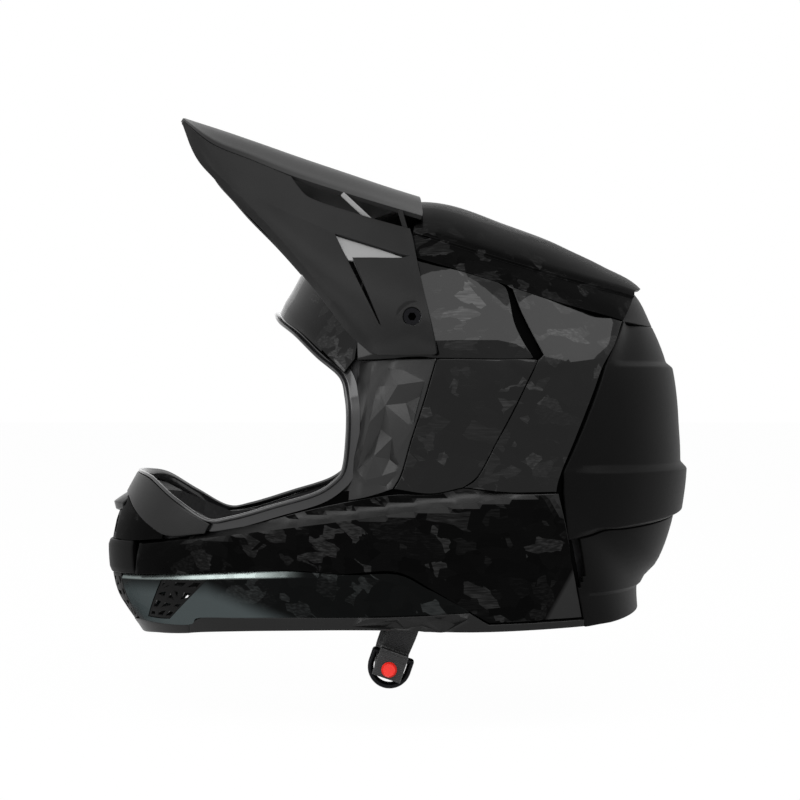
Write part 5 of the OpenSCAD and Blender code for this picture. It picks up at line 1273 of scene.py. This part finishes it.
# the soft pads: each swells a little by cloth simulation, then gets its sewn channels and its stitched border;
# turns and rises are degrees from the front and from the level, cuts and rib are channels as shares of the pad
pads = {
    "crown_pad_left": {"turns": (24, 156), "rises": (39, 56), "cuts": (.33, .66)},
    "crown_pad_right": {"turns": (-24, -156), "rises": (39, 56), "cuts": (.33, .66)},
    "top_pad": {"top": True, "cuts": (.33, .66)},
    "brow_pad": {"turns": (-56, 56), "rises": (24, 35), "cuts": (.2, .4, .6, .8)},
    "temple_pad_left": {"turns": (66, 116), "rises": (-10, 20), "cuts": (.5,)},
    "temple_pad_right": {"turns": (-66, -116), "rises": (-10, 20), "cuts": (.5,)},
    "neck_pad": {"turns": (130, 230), "rises": (-38, -12), "cuts": (.25, .5, .75), "rib": .5},
    "cheek_pad_left": {"turns": (66, 114), "rises": (-41, -15), "cuts": (.4,), "rib": .55},
    "cheek_pad_right": {"turns": (-66, -114), "rises": (-41, -15), "cuts": (.4,), "rib": .55},
    "chin_pad": {"chin": True, "cuts": ()},
}
swell = {"pressure": 4.0, "voxel": 0.0035, "frames": 20, "inward": 0.002, "outward": 0.0003, "sideways": 0.0012,
         "start": 0.0005}
quilt = {"head": (-2.0, 0, -20.0), "reach": 95, "border": 4.6, "cut": (1.5, 2.0), "rib": (1.2, 2.0), "rim": (0.9, 1.3),
         "give": 0.7, "top": (94, 44, 83)}


def padWay(pad, u, v):
    # the direction from the head's middle through a place on the pad
    if pad.get("top"):
        long, wide, high = quilt["top"]
        return unit(np.stack([-2 + (u - .5) * long, (v - .5) * wide, np.full_like(u, high)], axis=-1))
    t, r = (np.radians(start + (end - start) * share) for (start, end), share in ((pad["turns"], u), (pad["rises"], v)))
    return unit(np.stack([-np.cos(r) * np.cos(t), -np.cos(r) * np.sin(t), np.sin(r)], axis=-1))


def padPlace(pad, points):
    # the place (u, v) on the pad that each point lies at
    x, y, z = points.T
    if pad.get("top"):
        long, wide, high = quilt["top"]
        return (x * high / z + 2) / long + .5, y * high / z / wide + .5
    turn = np.degrees(np.arctan2(-y, -x))
    if pad["turns"][1] > 180:
        turn = turn % 360
    rise = np.degrees(np.arcsin(z / np.linalg.norm(points, axis=1)))
    return [(value - start) / (end - start) for value, (start, end) in ((turn, pad["turns"]), (rise, pad["rises"]))]


def asPlain(piece):
    made = evaluated(piece)
    piece.modifiers.clear()
    piece.data = made


def meshValues(mesh, kind):
    flat = np.empty(len(mesh.vertices) * 3)
    mesh.vertices.foreach_get(kind, flat)
    return flat.reshape(-1, 3)


def groove(distance, form):
    depth, width = form
    return depth * np.exp(-(distance / width) ** 2)


def swollen(piece):
    # where the piece's points are after the pressure of its filling: freely towards the head, hardly elsewhere
    before = meshValues(piece.data, "co")
    cloth = piece.modifiers.new("cloth", "CLOTH")
    cloth.settings.use_pressure = True
    cloth.settings.uniform_pressure_force = swell["pressure"]
    cloth.settings.effector_weights.gravity = 0
    cloth.settings.quality = 5
    cloth.collision_settings.use_collision = False
    cloth.point_cache.frame_end = swell["frames"]
    for number in range(1, swell["frames"] + 1):
        scene.frame_set(number)
    asPlain(piece)
    scene.frame_set(1)
    toHead = unit(np.multiply(quilt["head"], 0.001) - before)
    move = np.nan_to_num(meshValues(piece.data, "co") - before)
    inward = np.sum(move * toHead, axis=1, keepdims=True)
    aside = move - toHead * inward
    aside *= np.minimum(1, swell["sideways"] / np.maximum(np.linalg.norm(aside, axis=1, keepdims=True), 1e-9))
    return before + toHead * np.clip(inward, -swell["outward"], swell["inward"]) + aside


def softPad(name, pad):
    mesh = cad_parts[name].data.copy()
    bm = bmesh.new()
    bm.from_mesh(mesh)
    bmesh.ops.remove_doubles(bm, verts=bm.verts, dist=1e-5)
    bmesh.ops.recalc_face_normals(bm, faces=bm.faces)
    bm.normal_update()
    for vertex in bm.verts:
        vertex.co -= vertex.normal * swell["start"]
    bm.to_mesh(mesh)
    bm.free()
    piece = addObject(name + "_dressed", mesh)
    remesh = piece.modifiers.new("even", "REMESH")
    remesh.mode, remesh.voxel_size, remesh.use_smooth_shade = "VOXEL", swell["voxel"], True
    asPlain(piece)
    place = swollen(piece)
    piece.data.vertices.foreach_set("co", place.ravel())
    finer = piece.modifiers.new("finer", "SUBSURF")
    finer.levels = finer.render_levels = 1
    asPlain(piece)
    mesh = piece.data
    if not pad.get("chin"):
        here = meshValues(mesh, "co") * 1000
        toHead = unit(np.array(quilt["head"]) - here)
        facing = np.clip(np.sum(meshValues(mesh, "normal") * toHead, axis=1), 0, 1)
        u, v = padPlace(pad, here)
        ends = padWay(pad, np.array([0, 1, .5, .5]), np.array([.5, .5, 0, 1]))
        span, tall = (np.linalg.norm(ends[i + 1] - ends[i]) * quilt["reach"] for i in (0, 2))
        rim = np.minimum(np.minimum(u, 1 - u) * span, np.minimum(v, 1 - v) * tall)
        grooves = [groove(rim - quilt["border"], quilt["rim"])]
        grooves += [groove((u - cut) * span, quilt["cut"]) for cut in pad["cuts"]]
        if "rib" in pad:
            grooves.append(groove((v - pad["rib"]) * tall, quilt["rib"]))
        here = here - toHead * (np.max(grooves, axis=0) * facing)[:, None]
        mesh.vertices.foreach_set("co", (here * 0.001).ravel())
    clothe(mesh, "pad")
    mesh.polygons.foreach_set("use_smooth", [True] * len(mesh.polygons))
    mesh.update()
    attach(piece, "helmet")
    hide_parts(name)
    if pad.get("chin"):
        return
    # stitches follow the border's groove and the channels on the side that faces the head
    runs = []
    edgeU, edgeV = quilt["border"] / span, quilt["border"] / tall
    tracks = [[(edgeU, edgeV), (1 - edgeU, edgeV), (1 - edgeU, 1 - edgeV), (edgeU, 1 - edgeV), (edgeU, edgeV)]]
    tracks += [[(cut, edgeV * 1.4), (cut, 1 - edgeV * 1.4)] for cut in pad["cuts"]]
    for track in tracks:
        run = []
        for start, end in zip(track[:-1], track[1:]):
            for u, v in np.linspace(start, end, 40):
                way = padWay(pad, u, v)
                hit, spot, _, _ = piece.ray_cast(Vector((0, 0, 0)), Vector(way))
                if hit:
                    run.append(np.array(spot) * 1000 - way * 0.1)
        if len(run) > 8:
            runs.append([p for i, p in enumerate(run) if i == 0 or np.linalg.norm(p - run[i - 1]) > 0.2])
    stitchAlong(name + "_stitches", runs, wears["pad"][0])


for name, pad in pads.items():
    softPad(name, pad)
print("pads made")

# the chin strap: flat webbing 17 mm wide and 2 mm thick, its sewn loop, its folded end
strap = {"width": 17.0, "thick": 2.0, "tailThick": 3.2, "buckle": (-50.5, -75.5, -149.0), "tilt": 19.0,
         "loopRadius": 2.8, "loopHalf": 2.1, "step": 1.6, "foldStep": 1.2}
strapSlot = wears["webbing"][0]


def fromBuckle(x, y, z):
    a = math.radians(strap["tilt"])
    turned = np.array([x * math.cos(a) + z * math.sin(a), y, z * math.cos(a) - x * math.sin(a)])
    return turned + strap["buckle"]


def webbingSection(wide, thick):
    # two thicker selvedges and a flat middle
    w, t = wide / 2, thick / 2
    low = [(-w, -t * .45), (-w + .5, -t * .95), (-w + 2, -t), (-w + 3, -t * .86), (w - 3, -t * .86), (w - 2, -t),
           (w - .5, -t * .95), (w, -t * .45)]
    return low + [(x, -z) for x, z in low[::-1]]


def webbing(name, path, across, nodes, thick=strap["thick"], closed=False):
    path, across = np.array(path, float), np.array(across, float)
    way = unit(np.roll(path, -1, axis=0) - np.roll(path, 1, axis=0)) if closed else tangents(path)
    across = unit(across - way * np.sum(across * way, axis=1, keepdims=True))
    section = webbingSection(strap["width"], thick)
    points, faces = sweep(path, across, np.cross(way, across), section, closed)
    length = np.concatenate([[0], np.cumsum(np.linalg.norm(np.diff(path, axis=0), axis=1))])

    def unwrap(piece):
        layer = piece.data.uv_layers.new(name="strapRun")
        for loop in piece.data.loops:
            row, k = divmod(loop.vertex_index, len(section))
            layer.data[loop.index].uv = (section[k][0], length[row])
    makePiece(name, points, faces, "webbing", nodes=nodes, extras=[turnOut, unwrap, softenEdges(0.00015, 50)])


def widthAt(tilt, yaw):
    t, y = math.radians(tilt), math.radians(yaw)
    return (math.cos(t) * math.cos(y), math.sin(y), -math.sin(t) * math.cos(y))


def strapPath(points, tilts, yaws, step):
    both = np.hstack([np.array(points, float), np.array([widthAt(t, y) for t, y in zip(tilts, yaws)]) * 8])
    fine = smoothLine(both, step)
    return fine[:, :3], fine[:, 3:]


leftPath, leftAcross = strapPath(
    [(-28, -80.8, -54), (-30, -81.2, -62), (-34, -80, -85), (-39, -78.4, -110), (-43.5, -77, -131),
     (-49.26, -75.5, -145.41)], (12, 12, 12, 13, 16, 19), (-14, -14, -15, -12, -6, 0), strap["step"])
webbing("strap_left_dressed", leftPath, leftAcross, ["strap_left"])
rightPath, rightAcross = strapPath(
    [(-28, 80.8, -54), (-30, 81.2, -62), (-34, 80, -85), (-39, 78.4, -110), (-45, 70, -136), (-50, 57, -149),
     (-53, 34, -155.5), (-54, 0, -157.5), (-54, -34, -157.8), (-53.20, -61.5, -156.85), (-53.33, -75.5, -157.23),
     (-53.40, -79.6, -157.42), (-53.63, -81.1, -158.08), (-54.18, -81.8, -159.3), (-54.6, -81.8, -160.6)],
    (12, 12, 12, 13, 16, 18) + (19,) * 9, (14, 14, 15, 12, 4) + (0,) * 10, strap["foldStep"])
webbing("strap_right_dressed", rightPath, rightAcross, ["strap_right"])
# the loop of the left band round both bars, and the tail that hangs from the buckle
path = []
for middle, start in ((strap["loopHalf"], -90), (-strap["loopHalf"], 90)):
    for a in np.radians(np.arange(start, start + 181, 15)):
        path.append(fromBuckle(0, strap["loopRadius"] * math.cos(a) + middle, strap["loopRadius"] * math.sin(a)))
acrossWay = fromBuckle(1, 0, 0) - strap["buckle"]
webbing("strap_loop", path, [acrossWay] * len(path), ["strap_left"], closed=True)
tail = [fromBuckle(0, -9.3, z) for z in np.arange(3.0, -13.9, -1.3)]
webbing("strap_tail_dressed", tail, [acrossWay] * len(tail), ["strap_tail"], strap["tailThick"])
# a sewn box under the buckle and a row near the tail's end, as (x, z) from the buckle
boxRun = [(-6.6, 1.6), (6.6, 1.6), (6.6, -1.4), (-6.6, -1.4), (-6.6, 1.6)]
rows = [boxRun[i:i + 2] for i in range(4)] + [[(-6.6, -12.4), (6.6, -12.4)]]
stitchAlong("strap_stitches", [smoothLine([fromBuckle(x, -10.95, z) for x, z in row], 1.0) for row in rows],
            strapSlot, 1.9, 1.4, 0.42)
print("strap made")
